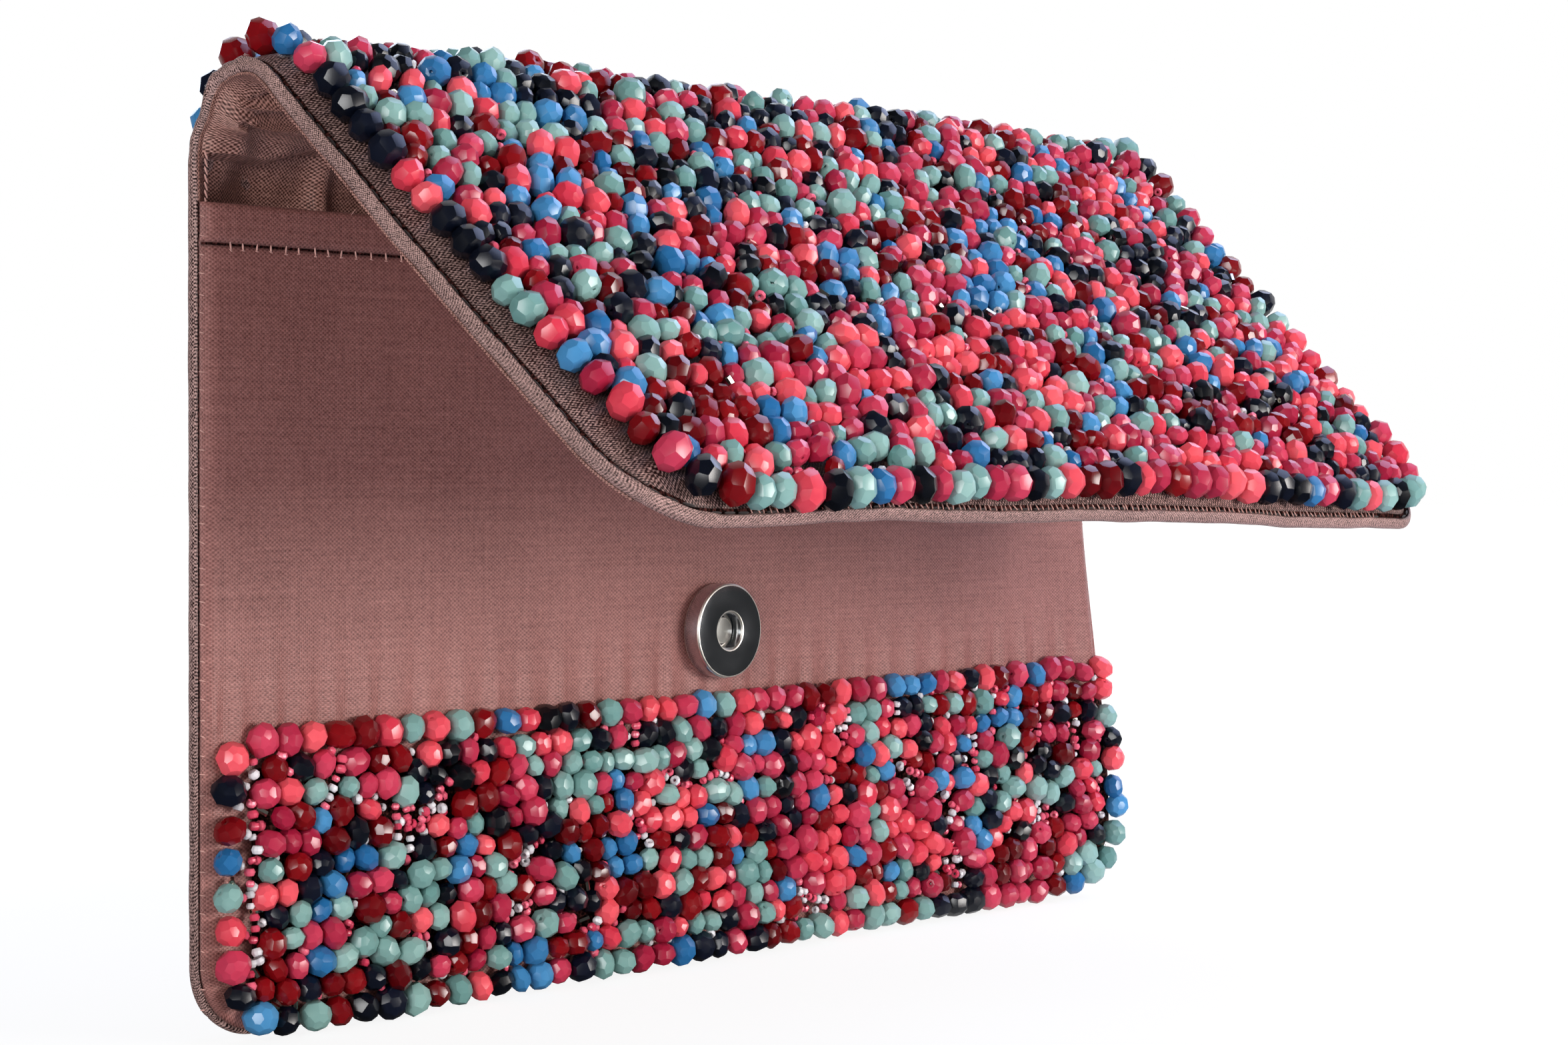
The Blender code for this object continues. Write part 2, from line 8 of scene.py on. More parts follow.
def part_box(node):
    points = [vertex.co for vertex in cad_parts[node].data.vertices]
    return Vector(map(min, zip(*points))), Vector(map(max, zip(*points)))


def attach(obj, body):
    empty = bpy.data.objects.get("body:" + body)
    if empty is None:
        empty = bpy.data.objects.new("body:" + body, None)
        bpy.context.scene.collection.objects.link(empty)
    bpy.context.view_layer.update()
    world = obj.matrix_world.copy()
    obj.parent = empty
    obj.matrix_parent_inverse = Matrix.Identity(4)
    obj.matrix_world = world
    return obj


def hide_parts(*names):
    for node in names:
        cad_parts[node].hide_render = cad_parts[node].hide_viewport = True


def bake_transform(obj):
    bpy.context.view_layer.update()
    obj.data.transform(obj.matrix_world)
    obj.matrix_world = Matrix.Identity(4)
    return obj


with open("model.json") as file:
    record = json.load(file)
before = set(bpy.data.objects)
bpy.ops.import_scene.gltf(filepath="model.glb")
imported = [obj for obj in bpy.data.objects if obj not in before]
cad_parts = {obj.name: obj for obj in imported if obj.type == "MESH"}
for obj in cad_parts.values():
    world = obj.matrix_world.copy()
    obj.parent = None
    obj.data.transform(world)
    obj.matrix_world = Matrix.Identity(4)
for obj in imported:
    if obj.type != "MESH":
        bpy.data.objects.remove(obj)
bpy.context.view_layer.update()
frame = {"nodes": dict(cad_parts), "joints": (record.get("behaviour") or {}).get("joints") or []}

mm = 0.001
dice = np.random.default_rng(11)

# The cloth of back, fold and flap is laid out flat: x across, run up the back and over the fold,
# out away from the cloth on its beaded side. Run is 0 at the rear hinge line. All in mm.
hingeLines = [Vector(joint["pos_m"]) / mm for joint in frame["joints"]]
restBend = math.radians(frame["joints"][0]["range_deg"][1])
strip = (hingeLines[1] - hingeLines[0]).length
bag = {
    "half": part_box("back_cover")[1].x / mm,
    "backDrop": hingeLines[0].z,
    "frontFace": -hingeLines[0].y,
    "mouth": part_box("front_cover")[1].z / mm,
    "hem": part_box("hem_thread")[1].z / mm,
    "snap": (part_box("socket_case")[0].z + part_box("socket_case")[1].z) / 2 / mm,
    "corner": 12.0,  # radius of the two lower corners
    "swell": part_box("back_cover")[1].y / mm - hingeLines[0].y,
    "swellOver": 18.0,  # how far in from the edge the back reaches its full depth
    "shoulder": 13.0,  # and how far below the fold
    "foldRound": 4.5,  # half the run over which each of the fold's corners bends
    "flapStart": 2 * strip,
    "flapLength": 106.0,
    "leftTaper": 9.3,
    "rightTaper": 4.5,
    "leftCorner": 18.0,
    "rightCorner": 12.0,
    "leftShort": 2.1,
    "ridgeCrown": 1.3,
}
flapEnd = bag["flapStart"] + bag["flapLength"]


def deselectAll():
    if bpy.context.mode != "OBJECT":
        bpy.ops.object.mode_set(mode="OBJECT")
    bpy.ops.object.select_all(action="DESELECT")


def justAdded(name):
    piece = bpy.context.object
    piece.name = name
    piece.data.name = name
    return piece


def applyModifiers(piece):
    bpy.context.view_layer.objects.active = piece
    for modifier in list(piece.modifiers):
        bpy.ops.object.modifier_apply(modifier=modifier.name)


def readPoints(piece):
    points = np.empty(len(piece.data.vertices) * 3)
    piece.data.vertices.foreach_get("co", points)
    return points.reshape(-1, 3)


def writePoints(piece, points):
    piece.data.vertices.foreach_set("co", points.astype(np.float32).reshape(-1))
    piece.data.update()


def setValues(piece, name, values, kind="FLOAT"):
    # what the taffeta's nodes read: one number for each point, or three
    attribute = piece.data.attributes.new(name, kind, "POINT")
    key = "vector" if kind == "FLOAT_VECTOR" else "value"
    attribute.data.foreach_set(key, values.astype(np.float32).reshape(-1))


def pickFaces(piece, wanted):
    # into edit mode, with only the faces selected that the test picks
    mesh = piece.data
    for item in [*mesh.vertices, *mesh.edges, *mesh.polygons]:
        item.select = False
    for face in mesh.polygons:
        face.select = bool(wanted(face))
    bpy.ops.object.mode_set(mode="EDIT")
    bpy.ops.mesh.select_mode(type="FACE")


def addObject(name, data):
    made = bpy.data.objects.new(name, data)
    bpy.context.scene.collection.objects.link(made)
    return made


def turnTo(axis):
    # turns a model's upright axis this way
    return Vector((0, 0, 1)).rotation_difference(axis.normalized()).to_matrix().to_4x4()


def hump(value, middle, width, power=2):
    # 1 at the middle, falling off to both sides
    return np.exp(-(((value - middle) / width) ** power))


def smoothStep(value, low, high):
    share = np.clip((value - low) / (high - low), 0, 1)
    return share * share * (3 - 2 * share)


# Soft random hills between -1 and 1, made of a few crossed waves
def hills(first, second, size, seed):
    waves = np.random.default_rng(seed)
    total = np.zeros(np.broadcast(first, second).shape)
    for _ in range(6):
        turn = waves.uniform(0, 2 * math.pi)
        length = size * waves.uniform(0.7, 1.6)
        phase = waves.uniform(0, 2 * math.pi)
        along = first * math.cos(turn) + second * math.sin(turn)
        total = total + np.sin(along * 2 * math.pi / length + phase)
    return total / 3.5


# The cloth's centre line, rounded over the fold's three corners
foldSteps = np.arange(-160.0, 150.0, 0.05)
reach = bag["foldRound"]
foldCorners = (0, strip, 2 * strip)
foldTurn = sum(restBend * np.clip((foldSteps - corner + reach) / (2 * reach), 0, 1) for corner in foldCorners)
cornerRadius = reach / math.tan(restBend / 2)
onCorner = sum(np.abs(foldSteps - corner) < reach for corner in foldCorners)
foldPace = np.where(onCorner > 0, cornerRadius * restBend / (2 * reach), 1.0) * 0.05
foldY = np.concatenate([[0], np.cumsum(-np.sin(foldTurn) * foldPace)[:-1]])
foldZ = np.concatenate([[0], np.cumsum(np.cos(foldTurn) * foldPace)[:-1]])
foldY += hingeLines[0].y - np.interp(-20, foldSteps, foldY)
foldZ += hingeLines[0].z - 20 - np.interp(-20, foldSteps, foldZ)


# The real flap is a little askew: narrower on its left side, and shorter there
def halfAt(x, run):
    along = np.clip(run - bag["flapStart"], 0, None) / bag["flapLength"]
    return bag["half"] - np.where(x < 0, bag["leftTaper"], bag["rightTaper"]) * along


def endAt(x):
    return flapEnd - bag["leftShort"] * (1 - smoothStep(x, -20, 90))


def edgeInset(x, run):
    # distance in from the sides and from the bottom or free edge, with their round corners
    side = halfAt(x, run) - np.abs(x)
    low = run + bag["backDrop"]
    high = endAt(x) - run
    end = np.minimum(low, high)
    flapRadius = np.where(x < 0, bag["leftCorner"], bag["rightCorner"])
    radius = np.where(run < 0, bag["corner"], flapRadius)
    inCorner = (side < radius) & (end < radius)
    arc = radius - np.hypot(radius - side, radius - end)
    return np.where(inCorner, arc, np.minimum(side, end))


def clothLift(x, run):
    inset = edgeInset(x, run)
    middle = np.clip(np.abs(x) / bag["half"], 0, 1)
    swell = bag["swell"] * np.sin(math.pi / 2 * np.clip(inset / bag["swellOver"], 0, 1))
    shoulder = np.clip(-run / bag["shoulder"], 0, 1)
    swell = swell * (1 - (1 - shoulder) ** 2.2) * (run < 0)
    crown = bag["ridgeCrown"] * (1 - middle**2) * hump(run, 11, 14)
    endIn = smoothStep(np.abs(x), 104, bag["half"])
    tuck = endIn * (1.2 * hump(run, 18, 6) - 1.8 * hump(run, 1, 5))
    along = np.clip((run - bag["flapStart"]) / bag["flapLength"], 0, 1)
    droop = -3.0 * np.clip(x / bag["half"], 0, 1) ** 2 * along**1.4
    rise = 0.8 * np.clip(1 - np.abs(x + 71) / 60, 0, 1) * along**2
    ripple = 0.35 * hills(x, run, 62, 3) * smoothStep(run, 20, 50)
    return swell + crown + tuck + droop + rise + ripple


# A flat place in mm on the folded bag, in metres
def cloth(x, run, out):
    turn = np.interp(run, foldSteps, foldTurn)
    lift = out + clothLift(x, run)
    y = np.interp(run, foldSteps, foldY) + lift * np.cos(turn)
    z = np.interp(run, foldSteps, foldZ) + lift * np.sin(turn)
    return np.stack([x, y, z], axis=-1) * mm


panel = {
    "half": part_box("front_cover")[1].x / mm,
    "low": 0.9,
    "thick": 2.2,
    "bow": 1.5,
    "bowStart": 80.0,
    "flare": 4.8,
    "bandTop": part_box("band_beads")[1].z / mm,
    "hemLift": 0.25,
}


# The front panel's face: it bows forward at the mouth, puckers over the band and flares at the right
def panelShape(x, z, out):
    share = np.clip(np.abs(x) / 80, 0, 1)
    side = np.cos(share * math.pi / 2) ** 0.8
    rise = np.clip((z - panel["bowStart"]) / (bag["mouth"] - panel["bowStart"]), 0, 1) ** 1.8
    bow = panel["bow"] * side * rise
    above = z - panel["bandTop"]
    pucker = np.sin(x * 2 * math.pi / 7.3 + 1.7 * np.sin(x / 17.0)) + 0.6 * np.sin(x * 2 * math.pi / 4.1 + 2)
    pucker = 0.42 * pucker * smoothStep(above, -3, 1) * np.exp(-np.clip(above, 0, None) / 8)
    step = panel["hemLift"] * smoothStep(z, bag["hem"] - 0.4, bag["hem"] + 0.5)
    groove = -0.3 * hump(z, bag["hem"], 0.7)
    inset = panel["half"] - np.abs(x)
    edge = -0.9 * hump(inset, 0.2, 1.3)
    calm = 0.25 * hills(x, z, 70, 8) * smoothStep(inset, 2, 25)
    low = smoothStep(95 - z, 0, 80) * (0.6 + 0.4 * smoothStep(z, 0, 14))
    flare = np.clip(x / panel["half"], 0, 1) ** 6 * low * panel["flare"]
    face = out + bow + (pucker + step + groove + edge + calm) * np.exp(out / 1.2)
    return np.stack([x + flare, bag["frontFace"] - face - flare, z], axis=-1) * mm


# Places of a sheet's grid lines from low to high, with its own ones near each end
def sheetLines(low, high, lowInsets, highInsets, step):
    first = [low + inset for inset in lowInsets] or [low]
    last = [high - inset for inset in reversed(highInsets)] or [high]
    count = max(2, round((last[0] - first[-1]) / step))
    return first[:-1] + list(np.linspace(first[-1], last[0], count + 1)) + last[1:]


def flatSheet(name, columns, rows, thickness, roll, openEnds):
    # a grid given its thickness, with its edges rounded except where it joins the next piece
    deselectAll()
    bpy.ops.mesh.primitive_grid_add(x_subdivisions=len(columns) - 1, y_subdivisions=len(rows) - 1, size=2)
    piece = justAdded(name)
    points = readPoints(piece)
    across = np.rint((points[:, 0] + 1) / 2 * (len(columns) - 1)).astype(int)
    along = np.rint((points[:, 1] + 1) / 2 * (len(rows) - 1)).astype(int)
    points[:, 0] = np.array(columns)[across]
    points[:, 1] = np.array(rows)[along]
    writePoints(piece, points)
    thicken = piece.modifiers.new("thickness", "SOLIDIFY")
    thicken.thickness = thickness
    thicken.offset = -1
    applyModifiers(piece)
    if roll:
        roundRim(piece, rows, roll, openEnds)
    return piece


def roundRim(piece, rows, roll, openEnds):
    mesh = piece.data
    rim = set()
    for face in mesh.polygons:
        atOpenEnd = any(abs(face.center.y - rows[end]) < 0.01 for end in openEnds)
        if abs(face.normal.z) < 0.5 and not atOpenEnd:
            rim.update(face.edge_keys)
    for item in [*mesh.vertices, *mesh.edges, *mesh.polygons]:
        item.select = False
    for edge in mesh.edges:
        one, other = (mesh.vertices[index].co for index in edge.vertices)
        flat = abs(one.z - other.z) < 0.001
        edge.select = flat and tuple(sorted(edge.vertices)) in rim
    bpy.context.view_layer.objects.active = piece
    bpy.ops.object.mode_set(mode="EDIT")
    bpy.ops.mesh.select_mode(type="EDGE")
    bpy.ops.mesh.bevel(offset=roll, segments=4, profile=0.5, affect="EDGES")
    bpy.ops.object.mode_set(mode="OBJECT")


def roundCorners(x, run, half, end, radius, sign):
    # squares off from the corner's own centre, so that each inset ring becomes an arc
    px = np.abs(x) - (half - radius)
    pr = sign * (run - (end - sign * radius))
    inside = (px > 0) & (pr > 0)
    big = np.maximum(px, pr)
    small = np.minimum(px, pr)
    share = np.where(inside, small / np.where(inside, big, 1), 0)
    turn = np.where(px >= pr, math.pi / 4 * share, math.pi / 2 - math.pi / 4 * share)
    newX = np.sign(x) * (half - radius + big * np.cos(turn))
    newRun = end - sign * radius + sign * big * np.sin(turn)
    return np.where(inside, newX, x), np.where(inside, newRun, run)


def paintCreaseShadow(piece, least=0.58):
    # the faces along the bottom of a seam take the painted crease shadow
    values = np.empty(len(piece.data.vertices), np.float32)
    piece.data.attributes["seamShade"].data.foreach_get("value", values)
    piece.data.materials.append(creaseShadowMaterial)
    for face in piece.data.polygons:
        face.material_index = int(values[list(face.vertices)].mean() > least)


def finishCloth(piece, material, angle=50):
    deselectAll()
    piece.select_set(True)
    bpy.context.view_layer.objects.active = piece
    bpy.ops.object.mode_set(mode="EDIT")
    bpy.ops.mesh.select_all(action="SELECT")
    bpy.ops.mesh.normals_make_consistent(inside=False)
    bpy.ops.object.mode_set(mode="OBJECT")
    bpy.ops.object.shade_smooth_by_angle(angle=math.radians(angle))
    piece.data.materials.clear()
    piece.data.materials.append(material)


def hexColour(code):
    parts = [int(code[place : place + 2], 16) / 255 for place in (1, 3, 5)]
    linear = [part / 12.92 if part <= 0.04045 else ((part + 0.055) / 1.055) ** 2.4 for part in parts]
    return (*linear, 1)


# A link comes from an output, or from a whole node, which then gives its first output in use
def addNode(tree, kind, values=None, links=None, **settings):
    node = tree.nodes.new("ShaderNode" + kind)
    for key, value in settings.items():
        setattr(node, key, value)
    for key, value in (values or {}).items():
        node.inputs[key].default_value = value
    for key, source in (links or {}).items():
        if isinstance(source, bpy.types.Node):
            source = next(output for output in source.outputs if output.enabled)
        tree.links.new(source, node.inputs[key])
    return node


def newMaterial(name):
    material = bpy.data.materials.new(name)
    material.use_nodes = True
    material.node_tree.nodes.clear()
    return material, material.node_tree


# Shot taffeta: a plain weave of pale crosswise over dark upright threads, so it looks like fine rows
# of dots and shines softly. Real threads are 0.2 and 0.4 mm apart, drawn half as coarse again to show.
def taffeta(name, dark, light, weave):
    material, tree = newMaterial(name)
    place = addNode(tree, "Attribute", attribute_name="clothPlace").outputs["Vector"]
    parts = addNode(tree, "SeparateXYZ", links={"Vector": place})
    wander = addNode(tree, "TexNoise", {"Scale": 0.25, "Detail": 2.0}, {"Vector": place})
    waves = []
    for axis, pitch, shift in (("X", weave["across"], 0.5), ("Y", weave["up"], 0.35)):
        links = {0: wander, 2: parts.outputs[axis]}
        moved = addNode(tree, "Math", {1: shift}, links, operation="MULTIPLY_ADD")
        turned = addNode(tree, "Math", {1: math.pi / pitch}, {0: moved}, operation="MULTIPLY")
        waves.append(addNode(tree, "Math", links={0: turned}, operation="SINE"))
    cell = addNode(tree, "Math", links={0: waves[0], 1: waves[1]}, operation="MULTIPLY")
    base = {1: 0.46 * weave["contrast"], 2: weave["middle"]}
    tone = addNode(tree, "Math", base, {0: cell}, operation="MULTIPLY_ADD")
    marks = (
        ((0.03, 1.7, 1.0), 1.0, 3.0, 0.3),  # slubs, the thick places in the crosswise thread
        ((1.3, 0.05, 1.0), 1.0, 2.0, 0.2),  # upright streaks
        # the wide clouds below are painted light and shade, where the cloth isn't quite flat
        (None, 0.035, 3.0, 0.3),  # wide clouds where the cloth isn't quite flat
        (None, weave["grain"], 1.0, weave["sparkle"]),  # single threads that catch the light
        (None, 0.75, 3.0, 0.34),  # mottling
    )
    noises = []
    for stretch, scale, detail, strength in marks:
        source = addNode(tree, "Mapping", {"Scale": stretch}, {"Vector": place}) if stretch else place
        noises.append(addNode(tree, "TexNoise", {"Scale": scale, "Detail": detail}, {"Vector": source}))
        centred = addNode(tree, "Math", {1: 0.5}, {0: noises[-1]}, operation="SUBTRACT")
        tone = addNode(tree, "Math", {1: strength}, {0: centred, 2: tone}, operation="MULTIPLY_ADD")
    # Painted light and shade: the rim lighter, the strip inside the seam darker towards the beads
    own = addNode(tree, "Attribute", attribute_name="rimLightStripShade").outputs["Fac"]
    tone = addNode(tree, "Math", links={0: own, 1: tone}, operation="ADD")
    threads = {"A": hexColour(dark), "B": hexColour(light)}
    colour = addNode(tree, "Mix", threads, {"Factor": tone}, data_type="RGBA")
    # Painted shade: near black in the seams, along the hem and on the cloth between the beads
    seam = addNode(tree, "Attribute", attribute_name="seamShade").outputs["Fac"]
    shaded = {"B": hexColour("#1A0E0C")}
    colour = addNode(tree, "Mix", shaded, {"Factor": seam, "A": colour}, data_type="RGBA")
    height = addNode(tree, "Math", links={0: cell}, operation="ABSOLUTE")
    tall = addNode(tree, "Math", {1: 0.8}, {0: noises[0], 2: height}, operation="MULTIPLY_ADD")
    bump = addNode(tree, "Bump", {"Strength": 0.35, "Distance": 0.00012}, {"Height": tall})
    finish = {
        "Roughness": 0.45,
        "Sheen Weight": 0.03,
        "Sheen Roughness": 0.35,
        "Sheen Tint": hexColour("#E8C4BE"),
        "Specular IOR Level": weave["shine"],
    }
    shader = addNode(tree, "BsdfPrincipled", finish, {"Base Color": colour, "Normal": bump})
    addNode(tree, "OutputMaterial", links={"Surface": shader})
    return material


# Painted shadow at the bottom of a seam, where hardly any light comes out: near black, in flecks of 0.6 mm
def creaseShadowPaint(name, dark, light):
    material, tree = newMaterial(name)
    place = addNode(tree, "Attribute", attribute_name="clothPlace").outputs["Vector"]
    speck = addNode(tree, "TexNoise", {"Scale": 1.6, "Detail": 2.0}, {"Vector": place})
    share = addNode(tree, "MapRange", {"From Min": 0.45, "From Max": 0.75}, {"Value": speck})
    colours = {"A": hexColour(dark), "B": hexColour(light)}
    colour = addNode(tree, "Mix", colours, {"Factor": share}, data_type="RGBA")
    finish = {"Roughness": 0.9, "Specular IOR Level": 0.05}
    shader = addNode(tree, "BsdfPrincipled", finish, {"Base Color": colour})
    addNode(tree, "OutputMaterial", links={"Surface": shader})
    return material


# Moulded acrylic: even colour, cut flats that shine like small windows, edges a little soft
def beadPlastic(name, low, high, roughness=0.27, glow=0.0):
    material, tree = newMaterial(name)
    tone = addNode(tree, "Attribute", attribute_name="tone").outputs["Fac"]
    spot = addNode(tree, "TexCoord").outputs["Object"]
    marble = addNode(tree, "TexNoise", {"Scale": 420.0, "Detail": 2.0}, {"Vector": spot})  # 2 mm swirls
    share = addNode(tree, "Math", {1: 0.5}, {0: marble, 2: tone}, operation="MULTIPLY_ADD")
    share = addNode(tree, "Math", {1: 0.25}, {0: share}, operation="SUBTRACT")
    colours = {"A": hexColour(low), "B": hexColour(high)}
    colour = addNode(tree, "Mix", colours, {"Factor": share}, data_type="RGBA")
    face = addNode(tree, "NewGeometry")
    normals = {"A": face.outputs["Normal"], "B": face.outputs["True Normal"]}
    blend = addNode(tree, "Mix", {"Factor": 0.78}, normals, data_type="VECTOR")
    unit = addNode(tree, "VectorMath", links={0: blend}, operation="NORMALIZE")
    finish = {"Roughness": roughness, "IOR": 1.5}
    if glow:
        finish["Subsurface Weight"] = glow
        finish["Subsurface Radius"] = (0.0016, 0.0006, 0.0004)
        finish["Subsurface Scale"] = 1.0
    shader = addNode(tree, "BsdfPrincipled", finish, {"Base Color": colour, "Normal": unit})
    addNode(tree, "OutputMaterial", links={"Surface": shader})
    return material


# Nickel plate on pressed steel: mirror bright, with faint wipe marks about 4 mm wide
def nickelPlate(name, colourCode, roughness):
    material, tree = newMaterial(name)
    spot = addNode(tree, "TexCoord").outputs["Object"]
    wipe = addNode(tree, "TexNoise", {"Scale": 260.0, "Detail": 3.0}, {"Vector": spot})
    between = {"To Min": roughness * 0.7, "To Max": roughness * 1.5}
    rough = addNode(tree, "MapRange", between, {"Value": wipe})
    bump = addNode(tree, "Bump", {"Strength": 0.06, "Distance": 0.0001}, {"Height": wipe})
    finish = {"Base Color": hexColour(colourCode), "Metallic": 1.0}
    shader = addNode(tree, "BsdfPrincipled", finish, {"Roughness": rough, "Normal": bump})
    addNode(tree, "OutputMaterial", links={"Surface": shader})
    return material


# Matt stuffs with a dull, speckled face: spun polyester thread, and the magnet's sintered ferrite. Real
# fibres and grains are too fine to show, so the flecks are drawn 0.4 and 0.7 mm wide
def mattStuff(name, dark, light, grain, detail, relief, finish):
    material, tree = newMaterial(name)
    spot = addNode(tree, "TexCoord").outputs["Object"]
    speck = addNode(tree, "TexNoise", {"Scale": grain, "Detail": detail}, {"Vector": spot})
    colours = {"A": hexColour(dark), "B": hexColour(light)}
    colour = addNode(tree, "Mix", colours, {"Factor": speck}, data_type="RGBA")
    bump = addNode(tree, "Bump", relief, {"Height": speck})
    shader = addNode(tree, "BsdfPrincipled", finish, {"Base Color": colour, "Normal": bump})
    addNode(tree, "OutputMaterial", links={"Surface": shader})
    return material


weaves = {
    "cover": {
        "across": 0.46,
        "up": 0.34,
        "contrast": 0.55,
        "middle": 0.42,
        "sparkle": 0.5,
        "grain": 2.1,
        "shine": 0.42,
    },
    "border": {
        "across": 0.38,
        "up": 0.3,
        "contrast": 1.1,
        "middle": 0.34,
        "sparkle": 2.0,
        "grain": 3.0,
        "shine": 0.25,
    },
    "lining": {
        "across": 0.42,
        "up": 0.32,
        "contrast": 1.3,
        "middle": 0.4,
        "sparkle": 1.4,
        "grain": 2.8,
        "shine": 0.3,
    },
}
coverTaffeta = taffeta("shotTaffeta", "#542A26", "#BC827A", weaves["cover"])
borderTaffeta = taffeta("shotTaffetaBorder", "#241312", "#D0A8A0", weaves["border"])
liningTaffeta = taffeta("shotTaffetaLining", "#46261F", "#CC998C", weaves["lining"])
# Painted shadow for the faces along the bottoms of the seams
creaseShadowMaterial = creaseShadowPaint("paintedCreaseShadow", "#0E0504", "#5E3430")
# The large beads: opaque reds and blues, and a clearer coral that glows a little at its edges
beadLooks = {
    "coral": beadPlastic("acrylicCoral", "#CC3046", "#EE5C66", glow=0.05),
    "raspberry": beadPlastic("acrylicRaspberry", "#9A1636", "#CA3C58"),
    "mint": beadPlastic("acrylicMint", "#64908C", "#8CB2AC"),
    "navy": beadPlastic("acrylicNavy", "#03060C", "#0B1122"),
    "garnet": beadPlastic("acrylicGarnet", "#520208", "#860A12", roughness=0.22),
    "blue": beadPlastic("acrylicBlue", "#1E6298", "#488CBE"),
}
# Pressed glass seeds are as even and shiny as the acrylic at this size, and the bugles' holes are silvered
seedLooks = {
    "pink": beadPlastic("glassSeedPink", "#C83452", "#EC6C84"),
    "ivory": beadPlastic("glassSeedIvory", "#C4C2C6", "#E6E4E8"),
    "silver": nickelPlate("silverLinedBugle", "#D8D4CA", 0.15),
}
threadFinish = (2600.0, 2.0, {"Strength": 0.5, "Distance": 0.0001}, {"Roughness": 0.7, "Sheen Weight": 0.2})
darkThread = mattStuff("darkThread", "#100808", "#2C1A18", *threadFinish)
pinkThread = mattStuff("pinkThread", "#B07A70", "#E0B0A4", *threadFinish)
nickel = nickelPlate("nickelPlate", "#BCC0C6", 0.13)
# Painted highlight: a paler, rougher plate on the snap's rounded rims, standing in for the white room they
# would mirror
nickelRimHighlight = nickelPlate("nickelRimHighlight", "#F4F0E8", 0.38)
plated = nickelPlate("platedSteel", "#B8B8B4", 0.3)
ferriteFinish = (1500.0, 4.0, {"Strength": 0.3, "Distance": 0.0003}, {"Roughness": 0.9})
ferrite = mattStuff("sinteredFerrite", "#282828", "#404040", *ferriteFinish)
print("materials made")

clothSettings = {
    "rimInsets": (0, 2.0, 2.2, 2.45, 2.7, 2.95, 3.2, 3.45, 3.8, 4.4, 5.4, 7.0),
    "rimDrawnIn": ((0, 2.2, 2.7, 3.2, 4.4, 7.0, 400.0), (0, 1.25, 1.65, 2.1, 3.6, 7.0, 400.0)),
    "rimDrop": 1.8,
    "step": 1.9,
    "backThick": 3.05,
    "foldThick": 2.6,
    "flapThick": 4.25,
    "liningThick": 0.4,
    "joins": (5.5, 16.5),  # runs at which the fold's own sheet starts and ends
    "stitchInset": 1.65,
    "grooveDepth": 0.55,
    "grooveWidth": 0.46,
}


def thicknessAt(run, inset):
    back = 2.3 + 0.75 * (1 - smoothStep(inset, 3, 10))
    flap = clothSettings["flapThick"]
    share = smoothStep(run, 2, 19)
    pinched = hump(run, 1, 17) * (1 - smoothStep(inset, 2.5, 8))
    return np.where(run < 2, back, back + (flap - back) * share) - pinched


# The stitching pulls the flap's border down towards its rolled rim
def rimDrop(run, inset):
    drop = clothSettings["rimDrop"] * (1 - smoothStep(inset, 1.4, 7.5))
    roll = 0.35 * hump(inset, 0.8, 0.5)
    return (drop - roll) * smoothStep(run, 4, 20)


# Over the mouth the lining hangs in a loose fold, creased at its lower edge, with a tuck beside it
def liningHang(x, run):
    crease = -7.0 + 2.8 * smoothStep(x, -108, -94)
    above = smoothStep(run, crease - 0.5, crease + 0.3) * (1 - smoothStep(run, 4, 14))
    left = 1 - smoothStep(x, -92, -70)
    fold = hump(x, -91.5, 2.2) * smoothStep(-run, 2, 7) * 2.4
    dimple = 0.8 * hills(x, run * 1.5, 15, 31) * smoothStep(-run, -6, 2)
    corner = np.hypot(x + 118.5, run - 7)
    pleat = np.sin(np.arctan2(run - 7, x + 118.5) * 9 + 0.6 * np.sin(corner / 3))
    pleat = 1.3 * pleat * hump(corner, 10, 7) * (1 - smoothStep(run, 8, 14))
    low = smoothStep(run, -24, -14)
    hang = above * (2.8 * left + 0.9) + fold * left + dimple * 0.6 + pleat
    return -hang * low * (run < 16) * smoothStep(bag["half"] - np.abs(x), 1.2, 3.2)


